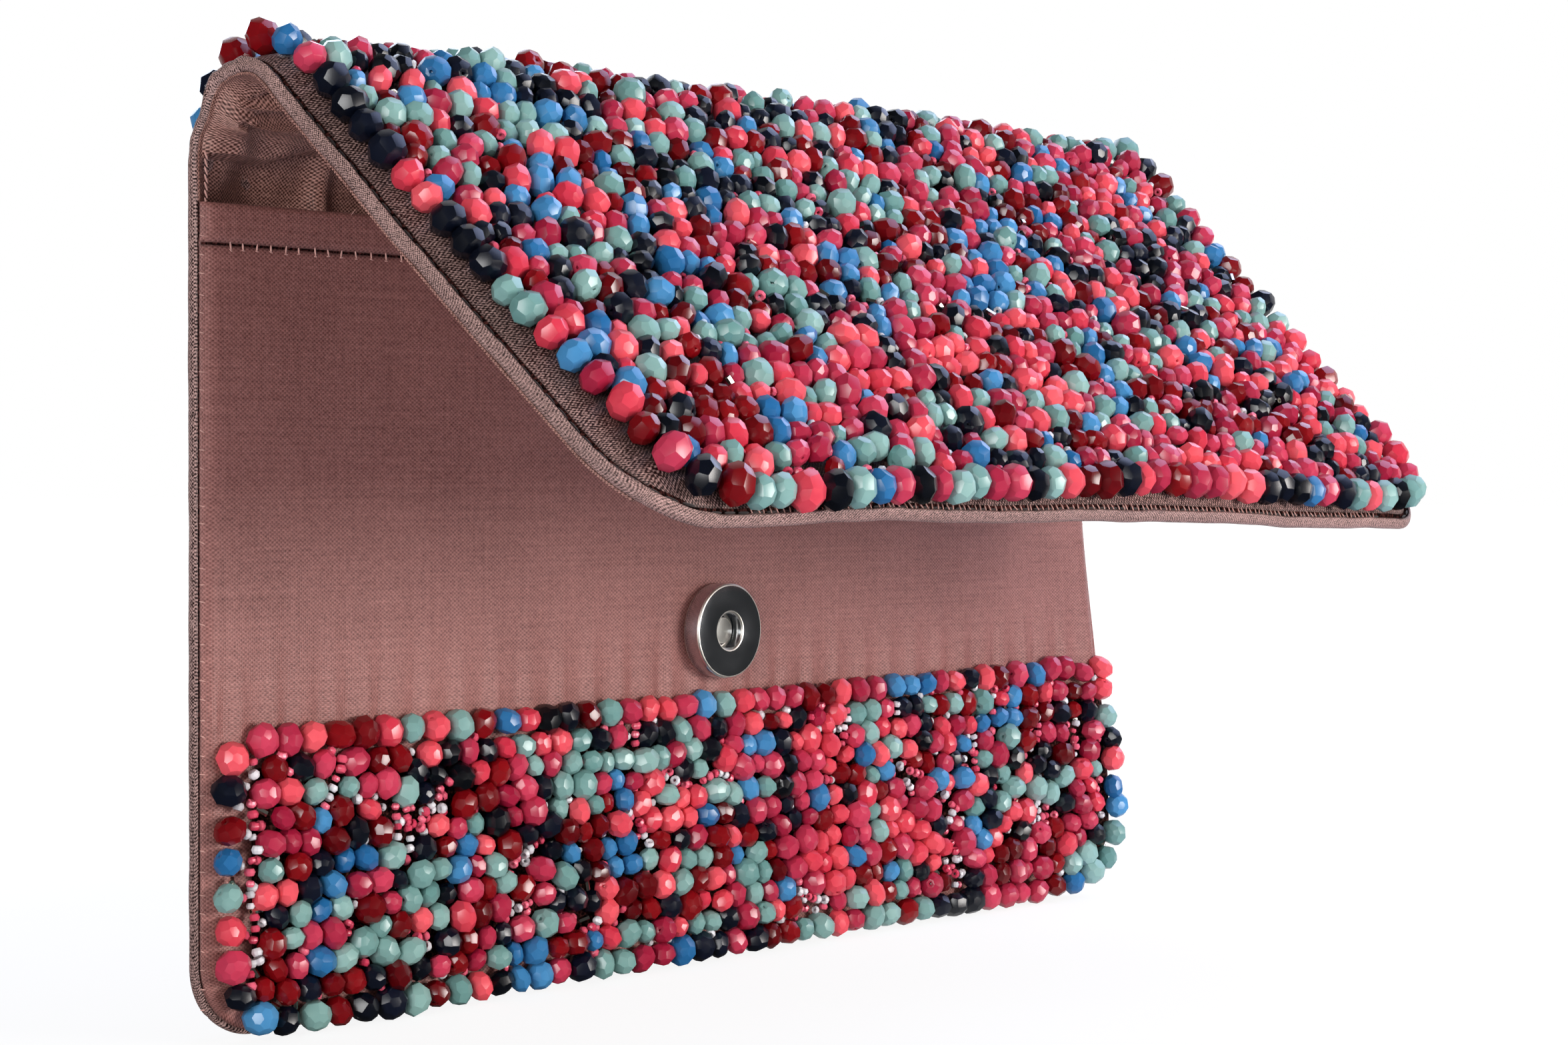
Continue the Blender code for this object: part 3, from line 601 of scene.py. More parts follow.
# Carries a flat sheet onto the folded bag; its weave stays on the flat cloth and goes round the rim
def bendPiece(piece, flatThick, lining=False):
    points = readPoints(piece)
    x, run, out = points.T
    hand = np.clip(x / 8, -1, 1)
    over = -out * (edgeInset(x, run) < 12)
    flapWay = smoothStep(run, 60, 90)
    backWay = smoothStep(-run, 90, 120)
    flat = np.stack([x + hand * over, run + over * (flapWay - backWay), out], axis=-1)
    setValues(piece, "clothPlace", flat, "FLOAT_VECTOR")
    drawn = clothSettings["rimDrawnIn"]
    newX = np.sign(x) * (bag["half"] - np.interp(bag["half"] - np.abs(x), *drawn))
    newRun = flapEnd - np.interp(flapEnd - run, *drawn)
    radius = np.where(x < 0, bag["leftCorner"], bag["rightCorner"])
    newX, newRun = roundCorners(newX, newRun, bag["half"], flapEnd, radius, 1)
    newX, newRun = roundCorners(newX, newRun, bag["half"], -bag["backDrop"], bag["corner"], -1)
    newX = newX * halfAt(newX, newRun) / bag["half"]
    share = smoothStep(newRun, flapEnd - 60, flapEnd)
    newRun = newRun - share * (flapEnd - endAt(newX))
    inset = edgeInset(newX, newRun)
    drop = rimDrop(newRun, inset)
    thick = thicknessAt(newRun, inset)
    if lining:
        deep = out - thick - 0.03 + liningHang(newX, newRun)
    else:
        deep = out * (thick - drop) / flatThick - drop
        stitched = smoothStep(newRun, -9, -4)
        seam = clothSettings["stitchInset"]
        groove = clothSettings["grooveDepth"] * hump(inset - seam, 0.1, clothSettings["grooveWidth"])
        pull = hills(newX, newRun, 5.5, 21) * 0.13 * hump(inset, seam, 1.6)
        deep = deep - (groove + pull) * stitched * np.exp(out / 1.5)
        plump = hump(inset, 0, 2.2) * hills(newX, newRun, 14, 5) * 0.16
        pinch = hump(newRun, 6, 10) * hump(inset, 0, 5) * hills(newX, newRun, 3.4, 17)
        deep = deep + plump + 0.45 * pinch
        # Painted shade in the stitched groove and on the cloth between the beads
        beaded = 0.55 * smoothStep(inset, 6.5, 9.5) * smoothStep(newRun, -6, -3)
        shaded = 0.95 * hump(inset - seam, 0.1, 0.75, 4) * stitched
        setValues(piece, "seamShade", np.clip(np.maximum(shaded, beaded) * (out > -1), 0, 1))
        # Painted light and shade: the rim and the unstitched cloth lighter, the strip inside the seam darker
        # towards the beads
        lowered = smoothStep(inset, 2.0, 2.6) * stitched
        tone = 0.08 * (1 - lowered) - lowered * (0.12 + 0.16 * smoothStep(inset, 4.0, 7.0))
        setValues(piece, "rimLightStripShade", tone)
    writePoints(piece, cloth(newX, newRun, deep))


insets = clothSettings["rimInsets"]
half = bag["half"]
step = clothSettings["step"]
joinOne, joinTwo = clothSettings["joins"]
crossLines = sheetLines(-half, half, insets, insets, step)
coverSpecs = {
    "backCover": (sheetLines(-bag["backDrop"], joinOne, insets, [], step), clothSettings["backThick"], (-1,)),
    "foldCover": (sheetLines(joinOne, joinTwo, [], [], 1.1), clothSettings["foldThick"], (0, -1)),
    "flapCover": (sheetLines(joinTwo, flapEnd, [], insets, 1.6), clothSettings["flapThick"], (0,)),
}
covers = {}
for name, (rows, thick, openEnds) in coverSpecs.items():
    covers[name] = flatSheet(name, crossLines, rows, thick, thick * 0.48, openEnds)
    bendPiece(covers[name], thick)
    finishCloth(covers[name], borderTaffeta)
    paintCreaseShadow(covers[name])
liningInsets = (0, 0.5, 1, 1.5, 2)
liningLines = sheetLines(-half + 1.3, half - 1.3, liningInsets, liningInsets, 1.2)
farBack = sheetLines(-bag["backDrop"] + 4, -26, (0, 1, 2), [], 3.0)
liningSpecs = {
    "backLining": farBack[:-1] + sheetLines(-26, joinOne, [], [], 0.8),
    "foldLining": sheetLines(joinOne, joinTwo, [], [], 0.8),
    "flapLining": sheetLines(joinTwo, flapEnd - 3.4, [], (0, 1, 2), 2.2),
}
linings = {}
for name, rows in liningSpecs.items():
    linings[name] = flatSheet(name, liningLines, rows, clothSettings["liningThick"], 0, ())
    bendPiece(linings[name], clothSettings["liningThick"], lining=True)
    finishCloth(linings[name], liningTaffeta)
print("back, fold and flap cloth made")

panelInsets = (0, 1.2, 1.8, 2.6, 3.6, 5.0)
hemRows = [bag["hem"] + shift for shift in (-1.6, -0.9, -0.4, 0.0, 0.4, 0.9, 1.6)]
lowRows = sheetLines(panel["low"], hemRows[0], panelInsets, [], 1.9)
highRows = sheetLines(hemRows[-1], bag["mouth"], [], (0, 1.2), 1.3)
panelRows = lowRows[:-1] + hemRows + highRows[1:]
panelColumns = sheetLines(-panel["half"], panel["half"], panelInsets, panelInsets, 1.5)
frontPanel = flatSheet("frontPanel", panelColumns, panelRows, panel["thick"], 1.0, ())
points = readPoints(frontPanel)
out = points[:, 2].copy()
newX, newZ = roundCorners(points[:, 0], points[:, 1], panel["half"], panel["low"], bag["corner"], -1)
points[:, 0] -= np.sign(points[:, 0]) * out
setValues(frontPanel, "clothPlace", points, "FLOAT_VECTOR")
# Painted shade along the hem's crease, on the cloth between the band's beads and down the side seams; its
# darkest faces take the painted crease shadow
hemShade = 0.8 * hump(newZ, bag["hem"] - 0.25, 0.4)
beaded = 0.6 * smoothStep(np.minimum(newZ, panel["bandTop"] - newZ), 4, 7) * (newX > -113)
sideShade = 0.95 * (1 - smoothStep(panel["half"] - np.abs(newX), 0.3, 1.0)) * (out < -0.9)
shade = np.maximum(np.maximum(hemShade, beaded) * (out > -0.6), sideShade)
setValues(frontPanel, "seamShade", np.clip(shade, 0, 1))
writePoints(frontPanel, panelShape(newX, newZ, out))
finishCloth(frontPanel, coverTaffeta)
paintCreaseShadow(frontPanel, 0.57)

liningHalf = panel["half"] - 2
liningLow = 3
columns = sheetLines(-liningHalf, liningHalf, (0, 1), (0, 1), 3)
rows = sheetLines(liningLow, bag["mouth"] - 1.0, (0, 1), (0, 1), 3)
frontLining = flatSheet("frontLining", columns, rows, clothSettings["liningThick"], 0, ())
points = readPoints(frontLining)
setValues(frontLining, "clothPlace", points, "FLOAT_VECTOR")
newX, newZ = roundCorners(points[:, 0], points[:, 1], liningHalf, liningLow, bag["corner"] - 2, -1)
writePoints(frontLining, panelShape(newX, newZ, points[:, 2] - panel["thick"] - 0.02))
finishCloth(frontLining, liningTaffeta)
print("front panel made")

beadSettings = {
    "shares": {"coral": 0.19, "raspberry": 0.21, "mint": 0.17, "navy": 0.17, "garnet": 0.15, "blue": 0.11},
    "leaning": {"coral": -1.1, "raspberry": -0.5, "mint": 0.5, "navy": 0.6, "garnet": -0.1, "blue": 0.5},
    "copyNeighbour": 0.16,
    "fieldRadius": (1.9, 2.75),
    "flapPitch": 5.15,
    "bandPitch": 4.7,
    "flatter": 0.87,
    "drilledShare": 0.25,
}


def facetedBead():
    # a pressed, fire-polished bead: four rows of flats cut off round its hole, none quite alike
    deselectAll()
    bpy.ops.mesh.primitive_cube_add(size=2.8)
    bead = justAdded("beadModel")
    bpy.ops.object.mode_set(mode="EDIT")
    flats = [(90, 0, 0.93), (-90, 0, 0.93)]
    for row, (height, count) in enumerate(((60, 6), (20, 8), (-20, 8), (-60, 6))):
        flats += [(height, (number + row / 2) * 360 / count, 0.96) for number in range(count)]
    for height, around, away in flats:
        shaky = abs(height) < 80
        rise = math.radians(height + shaky * dice.uniform(-5, 5))
        spin = math.radians(around + shaky * dice.uniform(-7, 7))
        facing = Vector((math.cos(rise) * math.cos(spin), math.cos(rise) * math.sin(spin), math.sin(rise)))
        spot = facing * (away + shaky * dice.uniform(-0.02, 0.02))
        bpy.ops.mesh.select_all(action="SELECT")
        bpy.ops.mesh.bisect(plane_co=spot, plane_no=facing, use_fill=True, clear_outer=True)
    bpy.ops.mesh.select_all(action="SELECT")
    bpy.ops.mesh.normals_make_consistent(inside=False)
    bpy.ops.object.mode_set(mode="OBJECT")
    bpy.ops.object.shade_smooth()
    bead.data.attributes.new("tone", "FLOAT", "POINT")
    return bead


def drilledBead(plain):
    # the same bead with the ends of its hole cut in
    deselectAll()
    bead = addObject("drilledBeadModel", plain.data.copy())
    bead.select_set(True)
    bpy.context.view_layer.objects.active = bead
    pickFaces(bead, lambda face: abs(face.normal.z) > 0.99)
    bpy.ops.mesh.inset(thickness=0.2, depth=-0.04, use_individual=True)
    bpy.ops.mesh.inset(thickness=0.02, depth=-0.5, use_individual=True)
    bpy.ops.object.mode_set(mode="OBJECT")
    return bead


def seedBead():
    # a short glass tube with a soft waist and a hole, 2 mm across
    deselectAll()
    bpy.ops.mesh.primitive_torus_add(major_segments=9, minor_segments=5, major_radius=0.62, minor_radius=0.38)
    seed = justAdded("seedModel")
    points = readPoints(seed)
    points[:, 2] *= 1.7
    writePoints(seed, points)
    bpy.ops.object.shade_smooth()
    seed.data.attributes.new("tone", "FLOAT", "POINT")
    return seed


# Copies are (model, matrix in mm, material, tone): each gets its own mesh, and then they are one piece
def copyOver(name, copies):
    made = []
    for number, (model, place, look, tone) in enumerate(copies):
        mesh = model.data.copy()
        mesh.materials.clear()
        mesh.materials.append(look)
        mesh.transform(Matrix.Scale(mm, 4) @ place)
        if "tone" in mesh.attributes:
            values = np.full(len(mesh.vertices), tone, np.float32)
            mesh.attributes["tone"].data.foreach_set("value", values)
        made.append(addObject(name if number == 0 else "bead", mesh))
    deselectAll()
    for one in made:
        one.select_set(True)
    bpy.context.view_layer.objects.active = made[0]
    bpy.ops.object.join()
    return justAdded(name)


# Beads that overlap push each other apart, and none leaves the field
def settle(points, radii, fixed, rounds, inside):
    for _ in range(rounds):
        gap = points[:, None] - points[None]
        distance = np.hypot(gap[..., 0], gap[..., 1]) + 1e-6
        push = np.clip((radii[:, None] + radii[None]) - distance, 0, None)
        np.fill_diagonal(push, 0)
        move = (gap / distance[..., None] * push[..., None]).sum(1) * 0.3
        points[~fixed] += move[~fixed]
        points[~fixed] = inside(points[~fixed])
    return points


# Cool, from -1 to 1 at each bead, takes the choice from the reds to the blues and greens
def pickColours(points, cool):
    names = list(beadSettings["shares"])
    plain = np.array([beadSettings["shares"][name] for name in names])
    leaning = np.array([beadSettings["leaning"][name] for name in names])
    picked = []
    for number, point in enumerate(points):
        chances = plain * np.exp(leaning * cool[number])
        if number and dice.random() < beadSettings["copyNeighbour"]:
            nearest = int(np.argmin(np.hypot(*(points[:number] - point).T)))
            picked.append(picked[nearest])
        else:
            picked.append(names[dice.choice(len(names), p=chances / chances.sum())])
    return picked


def pathLengths(path):
    return np.concatenate([[0], np.cumsum(np.hypot(*np.diff(path, axis=0).T))])


# Beads side by side along a path, each with its own size
def edgeWalk(path, low, high, gap):
    lengths = pathLengths(path)
    places = []
    radii = []
    at = 0.0
    while at < lengths[-1]:
        radius = dice.uniform(low, high)
        at += radius
        if at > lengths[-1]:
            break
        places.append((np.interp(at, lengths, path[:, 0]), np.interp(at, lengths, path[:, 1])))
        radii.append(radius)
        at += radius + gap * dice.random()
    return np.array(places), np.array(radii)


def lattice(lowX, highX, lowY, highY, pitch):
    rows = []
    for number, y in enumerate(np.linspace(lowY, highY, round((highY - lowY) / pitch / 0.866) + 1)):
        shift = pitch / 2 if number % 2 else 0
        rows += [(x + shift, y) for x in np.linspace(lowX, highX - shift, round((highX - lowX) / pitch) + 1)]
    spots = np.array(rows)
    return spots + dice.normal(0, pitch * 0.16, spots.shape)


def randomSpin():
    return Matrix.Rotation(dice.uniform(0, 2 * math.pi), 4, "Z")


def lyingAxis(place, angle, tilt):
    # a direction in the cloth's plane, tilted out of it by chance
    base, across, along, outward = place
    return across * math.cos(angle) + along * math.sin(angle) + outward * dice.normal(0, tilt)


def bugleBead():
    # a tiny cut tube with a hole
    deselectAll()
    bpy.ops.mesh.primitive_cylinder_add(vertices=6, radius=1.0, depth=1.0)
    bugle = justAdded("bugleModel")
    pickFaces(bugle, lambda face: abs(face.normal.z) > 0.9)
    bpy.ops.mesh.inset(thickness=0.35, depth=0.0, use_individual=True)
    bpy.ops.mesh.inset(thickness=0.08, depth=-0.3, use_individual=True)
    bpy.ops.object.mode_set(mode="OBJECT")
    return bugle


plainModel = facetedBead()
drilledModel = drilledBead(plainModel)
seedModel = seedBead()
bugleModel = bugleBead()

# The row of larger beads round the flap, as x and run: up the left side, along the free edge, down the right
edgeRow = {
    "leftInset": ((-4, 11, 30, 50, 60, 84, 95, 101, 107), (5.0, 5.6, 5.9, 5.4, 6.1, 6.2, 7.3, 8.2, 9.3)),
    "leftCorner": ((-104.4, 110.5), (-103.4, 115.5), (-101.6, 119.2), (-98.1, 121.8)),
    "freeEdge": (
        (-91.2, -84.3, -73.5, -64.8, -39.5, -7.1, 22.9, 54.8, 93.1, 106.8),
        (123.5, 123.8, 124.2, 123.9, 122.8, 121.8, 121.5, 123.3, 124.6, 124.2),
    ),
    "rightCorner": ((112.6, 121.4), (115.2, 117), (116.0, 112), (115.6, 105)),
    "rightSide": ((114.2, 88), (113.6, 66), (114.6, 44), (116.2, 22), (116.6, 8), (116.4, -4)),
    "radius": (2.35, 2.95),
    "gap": 0.3,
}
leftRuns = np.arange(-4.0, 108.0, 2.0)
leftX = np.interp(leftRuns, *edgeRow["leftInset"]) - halfAt(-1.0, leftRuns)
leftSide = np.stack([leftX, leftRuns], axis=-1)
freeX = np.arange(-91.0, 107.0, 3.0)
freeSide = np.stack([freeX, np.interp(freeX, *edgeRow["freeEdge"])], axis=-1)
corners = (edgeRow["leftCorner"], edgeRow["rightCorner"])
ringPath = np.concatenate([leftSide, corners[0], freeSide, corners[1], edgeRow["rightSide"]])
ringPoints, ringRadii = edgeWalk(ringPath, *edgeRow["radius"], edgeRow["gap"])
ringWays = np.gradient(ringPoints, axis=0)
ringWays = ringWays / np.hypot(*ringWays.T)[:, None]
ringPoints = ringPoints + dice.normal(0, 0.22, ringPoints.shape)
print("edge beads:", len(ringPoints))


def insideFlap(points):
    x, run = points.T
    lowX = np.interp(run, leftRuns, leftX) + 4.3 + 7 * smoothStep(run, 110, 122) ** 2
    highX = 111.0 - 5 * smoothStep(run, 108, 122) ** 2
    highRun = np.interp(x, *edgeRow["freeEdge"]) - 4.3
    return np.stack([np.clip(x, lowX, highX), np.clip(run, -6.0, highRun)], axis=-1)


fieldPoints = lattice(-half + 9, half - 9, -6.0, flapEnd - 7, beadSettings["flapPitch"])
fieldPoints = fieldPoints[np.abs(insideFlap(fieldPoints) - fieldPoints).max(1) < 1.6]
fieldRadii = dice.uniform(*beadSettings["fieldRadius"], len(fieldPoints))
allPoints = np.concatenate([ringPoints, fieldPoints])
allRadii = np.concatenate([ringRadii, fieldRadii])
isRing = np.arange(len(allPoints)) < len(ringPoints)
allPoints = settle(allPoints, allRadii, isRing, 60, insideFlap)
print("field beads:", len(fieldPoints))


# A place on the cloth's outer face, and its directions across, along and outward
def clothFrame(x, run, sunk=0.35):
    turn = float(np.interp(run, foldSteps, foldTurn))
    drop = float(rimDrop(run, edgeInset(np.array(x), np.array(run))))
    base = Vector(cloth(x, run, -sunk * drop)) / mm
    along = Vector((0, -math.sin(turn), math.cos(turn)))
    outward = Vector((0, math.cos(turn), math.sin(turn)))
    return base, Vector((1, 0, 0)), along, outward


def panelFrame(x, z):
    base = Vector(panelShape(np.array(x), np.array(z), np.array(0.0))) / mm
    return base, Vector((1, 0, 0)), Vector((0, 0, 1)), Vector((0, -1, 0))


def stand(place, height, turn, sizes):
    # the matrix of a model at this height over its place
    return Matrix.Translation(place[0] + place[3] * height) @ turn @ Matrix.Diagonal((*sizes, 1))


def rowBead(place, radius, way, look):
    # a bead of the outer row: thicker across its hole than along it, and its hole follows the row
    base, across, along, outward = place
    axis = across * (way[0] + dice.normal(0, 0.12)) + along * (way[1] + dice.normal(0, 0.12))
    turn = turnTo(axis + outward * dice.normal(0, 0.1)) @ randomSpin()
    wide = 1.03 + 0.09 * abs(way[0])
    sizes = radius * dice.uniform(0.98, 1.05, 3) * (wide, wide, 0.95)
    return (plainModel, stand(place, radius, turn, sizes), look, dice.random())


def beadOn(place, radius, lift, look):
    if dice.random() < beadSettings["drilledShare"]:
        model = drilledModel
        turn = turnTo(lyingAxis(place, dice.uniform(0, 2 * math.pi), 0.35)) @ randomSpin()
    else:
        model = plainModel
        turn = Euler(dice.uniform(0, 2 * math.pi, 3)).to_matrix().to_4x4()
    sizes = radius * dice.uniform(0.96, 1.06, 3) * (1, 1, beadSettings["flatter"])
    return (model, stand(place, radius * 0.88 + lift, turn, sizes), look, dice.random())


def seedOn(place, angle, lift, look):
    # a seed lies on its side, its hole along the thread
    turn = turnTo(lyingAxis(place, angle, 0.2))
    size = seedSettings["radius"] * dice.uniform(0.78, 1.1)
    return (seedModel, stand(place, size + lift, turn, (size, size, size)), look, dice.random())


def bugleOn(place, angle, lift):
    turn = turnTo(lyingAxis(place, angle, 0.5))
    sizes = (0.55, 0.55, dice.uniform(1.6, 2.4))
    return (bugleModel, stand(place, 1.0 + lift, turn, sizes), seedLooks["silver"], 0.5)


seedSettings = {
    "radius": 0.95,
    "pitch": 1.7,
    "bandStrings": 34,
    "stringLength": (3, 7),
    "flapGapSeeds": 380,
    "bandGapSeeds": 190,
    "silverShare": 0.14,
}


def zoneOf(run, ring):
    if run < 0:
        return "backBeads"
    if run < strip:
        return "foldRearBeads"
    if run < 2 * strip:
        return "foldFrontBeads"
    return "flapEdgeBeads" if ring else "flapFieldBeads"


# The widest gaps between beads, where small seeds show
def gapPlaces(points, radii, low, high, wanted, inside):
    tries = np.stack([dice.uniform(low[0], high[0], 6000), dice.uniform(low[1], high[1], 6000)], axis=-1)
    tries = tries[np.abs(inside(tries) - tries).max(1) < 2.5]
    room = np.full(len(tries), 99.0)
    for point, radius in zip(points, radii):
        room = np.minimum(room, np.hypot(*(tries - point).T) - radius)
    chosen = []
    for index in np.argsort(-room):
        place = tries[index]
        if all(math.hypot(*(place - other)) > 2.1 for other in chosen):
            chosen.append(place)
        if len(chosen) == wanted:
            break
    return chosen


def seedLook():
    return seedLooks["pink"] if dice.random() < 0.68 else seedLooks["ivory"]


# The reds give way to blues and greens towards the upper left
coolness = 1.3 * smoothStep(-allPoints[:, 0], -80, 100) * smoothStep(-allPoints[:, 1], -110, 0) - 0.12
colours = pickColours(allPoints, coolness)
zoneNames = ("backBeads", "foldRearBeads", "foldFrontBeads", "flapFieldBeads", "flapEdgeBeads")
zones = {name: [] for name in zoneNames}
for number, (x, run) in enumerate(allPoints):
    place = clothFrame(x, run)
    look = beadLooks[colours[number]]
    if isRing[number]:
        spec = rowBead(place, allRadii[number], ringWays[number], look)
    else:
        spec = beadOn(place, allRadii[number], abs(dice.normal(0, 0.6)), look)
    zones[zoneOf(run, isRing[number])].append(spec)
flapEnds = (-half, -5), (half, flapEnd)
for x, run in gapPlaces(allPoints, allRadii, *flapEnds, seedSettings["flapGapSeeds"], insideFlap):
    place = clothFrame(x, run)
    angle = dice.uniform(0, math.pi)
    lift = dice.uniform(0.4, 2.0)
    if dice.random() < seedSettings["silverShare"]:
        spec = bugleOn(place, angle, lift)
    else:
        spec = seedOn(place, angle, lift, seedLook())
    zones[zoneOf(run, False)].append(spec)
beads = {name: copyOver(name, copies) for name, copies in zones.items()}
print("flap beads made")

band = {
    "leftUpper": ((-117.1, 46.1), (-117.9, 40.8), (-118.2, 34.6), (-118.5, 29.4), (-118.6, 23.8)),
    "leftLower": ((-118.1, 18.3), (-117.8, 12.4), (-116.2, 7.7), (-112.0, 3.7), (-106.8, 2.5)),
    "side": 119.4,
    "top": 48.0,
    "low": 2.6,
    "rightCorner": 9.0,
    "radius": (2.35, 2.85),
    "fieldRadius": (1.95, 2.75),
    "headroom": 4.3,  # how high a bead may stand where the shut flap lies on the band
    "stringTop": (-113.6, 38.5),  # the string of seeds down the left side
    "stringPitch": 1.85,
    "stringSeeds": 17,
}
side = band["side"]
low = band["low"]
columnPoints = np.array(band["leftUpper"] + band["leftLower"])
columnRadii = dice.uniform(*band["radius"], len(columnPoints))
turnsDown = np.linspace(0, math.pi / 2, 8)
cornerX = side - band["rightCorner"] * (1 - np.cos(turnsDown))
cornerZ = low + band["rightCorner"] * (1 - np.sin(turnsDown))
topPath = [(-113.5, band["top"] + 0.4), (0, band["top"]), (side, band["top"] + 1.2)]
bandPath = np.concatenate([topPath, np.stack([cornerX, cornerZ], axis=-1), [(-104.0, low - 0.1)]])
pathPoints, pathRadii = edgeWalk(bandPath, *band["radius"], 0.1)
bandRing = np.concatenate([columnPoints, pathPoints])
bandRingRadii = np.concatenate([columnRadii, pathRadii])
loose = 0.15 + 0.35 * smoothStep(bandRing[:, :1], 60, side)
bandRing = bandRing + dice.normal(0, 1, bandRing.shape) * loose


def insideBand(points):
    x = np.clip(points[:, 0], -side + 4.0, side - 4.6)
    ceiling = band["top"] - 4.3 + 1.2 * np.clip(points[:, 0] / side, 0, 1)
    z = np.clip(points[:, 1], low + 4.6, ceiling)
    return np.stack([x, z], axis=-1)


# Short strings of seeds are laid down first, and the larger beads then fill round them
seedPlaces = []
for row in range(band["stringSeeds"]):
    x = band["stringTop"][0] + 0.5 * math.sin(row * 0.7)
    seedPlaces.append((x, band["stringTop"][1] - row * band["stringPitch"], math.pi / 2, row))
for string in range(seedSettings["bandStrings"]):
    x = dice.uniform(-side + 6, side - 4)
    z = dice.uniform(low + 4, band["top"] - 4)
    angle = dice.choice([0.0, 0.4, -0.4, math.pi / 2, 1.2]) + dice.normal(0, 0.25)
    bend = dice.normal(0, 0.12)
    for step in range(int(dice.integers(*seedSettings["stringLength"]))):
        seedPlaces.append((x, z, angle, string * 3 + step))
        x += math.cos(angle) * seedSettings["pitch"]
        z += math.sin(angle) * seedSettings["pitch"]
        angle += bend
highest = band["top"] - 2.5
seedPlaces = [spot for spot in seedPlaces if abs(spot[0]) < side - 3 and low + 3 < spot[1] < highest]
bandField = lattice(-side + 8.5, side - 5, low + 4.7, band["top"] - 4.2, beadSettings["bandPitch"])
seedPoints = np.array([spot[:2] for spot in seedPlaces])
bandPoints = np.concatenate([bandRing, seedPoints, bandField])
fieldSizes = dice.uniform(*band["fieldRadius"], len(bandField))
bandRadii = np.concatenate([bandRingRadii, np.full(len(seedPoints), 0.85), fieldSizes])
firstField = len(bandRing) + len(seedPoints)
bandFixed = np.arange(len(bandPoints)) < firstField
clear = [np.hypot(*(seedPoints - point).T).min() >= 1.5 for point in bandField]
kept = np.concatenate([np.ones(firstField, bool), clear])
bandPoints = bandPoints[kept]
bandRadii = bandRadii[kept]
bandFixed = bandFixed[kept]
bandPoints = settle(bandPoints, bandRadii, bandFixed, 30, insideBand)
isBead = np.ones(len(bandPoints), bool)
isBead[len(bandRing) : firstField] = False
bandCool = 0.15 - 0.45 * smoothStep(bandPoints[isBead][:, 0], -110, 60)
bandColours = iter(pickColours(bandPoints[isBead], bandCool))
bandSpecs = []
for number, (x, z) in enumerate(bandPoints):
    place = panelFrame(x, z)
    if isBead[number]:
        lift = 0.0 if bandFixed[number] else abs(dice.normal(0, 0.7))
        # under the shut flap the beads are sewn down tight: one stands 1.94 radii high with no lift
        headroom = band["headroom"] - 1.94 * bandRadii[number]
        lift += (min(lift, headroom) - lift) * float(smoothStep(z, 38.0, 42.0))
        bandSpecs.append(beadOn(place, bandRadii[number], lift, beadLooks[next(bandColours)]))
    else:
        angle, count = seedPlaces[number - len(bandRing)][2:]
        look = seedLooks["ivory" if count % 5 in (3, 4) else "pink"]
        bandSpecs.append(seedOn(place, angle, dice.uniform(0.8, 2.2), look))
bandEnds = (-side, low), (side, band["top"])
for x, z in gapPlaces(bandPoints, bandRadii, *bandEnds, seedSettings["bandGapSeeds"], insideBand):
    place = panelFrame(x, z)
    if dice.random() < seedSettings["silverShare"]:
        bandSpecs.append(bugleOn(place, dice.uniform(0, math.pi), dice.uniform(0.3, 1.2)))
    else:
        bandSpecs.append(seedOn(place, dice.uniform(0, math.pi), dice.uniform(0.2, 1.4), seedLook()))
beads["bandBeads"] = copyOver("bandBeads", bandSpecs)
print("band beads made:", len(bandSpecs))


# Every stitch is a copy of one short strand with tapered ends
stitchSettings = {
    "radius": 0.23,
    "topLength": 2.5,
    "topGap": 0.6,
    "ladderEnds": (-88, 96),
    "ladderPitch": 1.45,
    "ladderLength": 1.6,
    "hemEnds": (-119.0, 114.0),
    "hemPitch": (2.5, 3.6),
    "hemLength": (1.3, 2.0),
    "tufts": 60,
    "whipEnds": (6.0, 134.0),
    "whipPitch": 3.1,
    "seamTop": 147.0,
    "seamPitch": 1.25,
}
deselectAll()
bpy.ops.mesh.primitive_uv_sphere_add(segments=6, ring_count=5, radius=1.0)
stitchModel = justAdded("stitchModel")
bpy.ops.object.shade_smooth()


def stitchOn(centre, direction, length, radius, look):
    shape = Matrix.Diagonal((radius, radius, length / 2, 1))
    return (stitchModel, Matrix.Translation(centre) @ turnTo(direction) @ shape, look, 0.5)


def cornerArc(x, run, radius, way):
    angles = np.linspace(0, math.pi / 2, 12)[1:-1]
    rise, fall = np.sin(angles), np.cos(angles)
    across, along = (fall, rise) if way < 0 else (rise, fall)
    return [(x + way * one * radius, run + other * radius) for one, other in zip(across, along)]


def grooveFrame(x, run):
    place = clothFrame(x, run, 1.0)
    return place[0] - place[3] * 0.18, *place[1:]


seam = clothSettings["stitchInset"]
sideRuns = np.arange(9.0, flapEnd - 12, 1.0)
leftLow = float(endAt(np.array(-110.0)))
rightLow = float(endAt(np.array(110.0)))
leftRound = bag["leftCorner"] - seam
rightRound = bag["rightCorner"] - seam
leftEdge = [(-float(halfAt(-1.0, run)) + seam, run) for run in sideRuns if run < leftLow - bag["leftCorner"]]
leftEdge += cornerArc(leftEdge[-1][0] + leftRound, leftEdge[-1][1], leftRound, -1)
freeEdge = [(x, float(endAt(np.array(x))) - seam) for x in np.arange(leftEdge[-1][0] + 1, 97.0, 1.0)]
rightEdge = [(float(halfAt(1.0, run)) - seam, run) for run in sideRuns if run < rightLow - bag["rightCorner"]]
rightArc = cornerArc(rightEdge[-1][0] - rightRound, rightEdge[-1][1], rightRound, 1)
rimStitches = {"foldFrontStitches": [], "flapStitches": []}


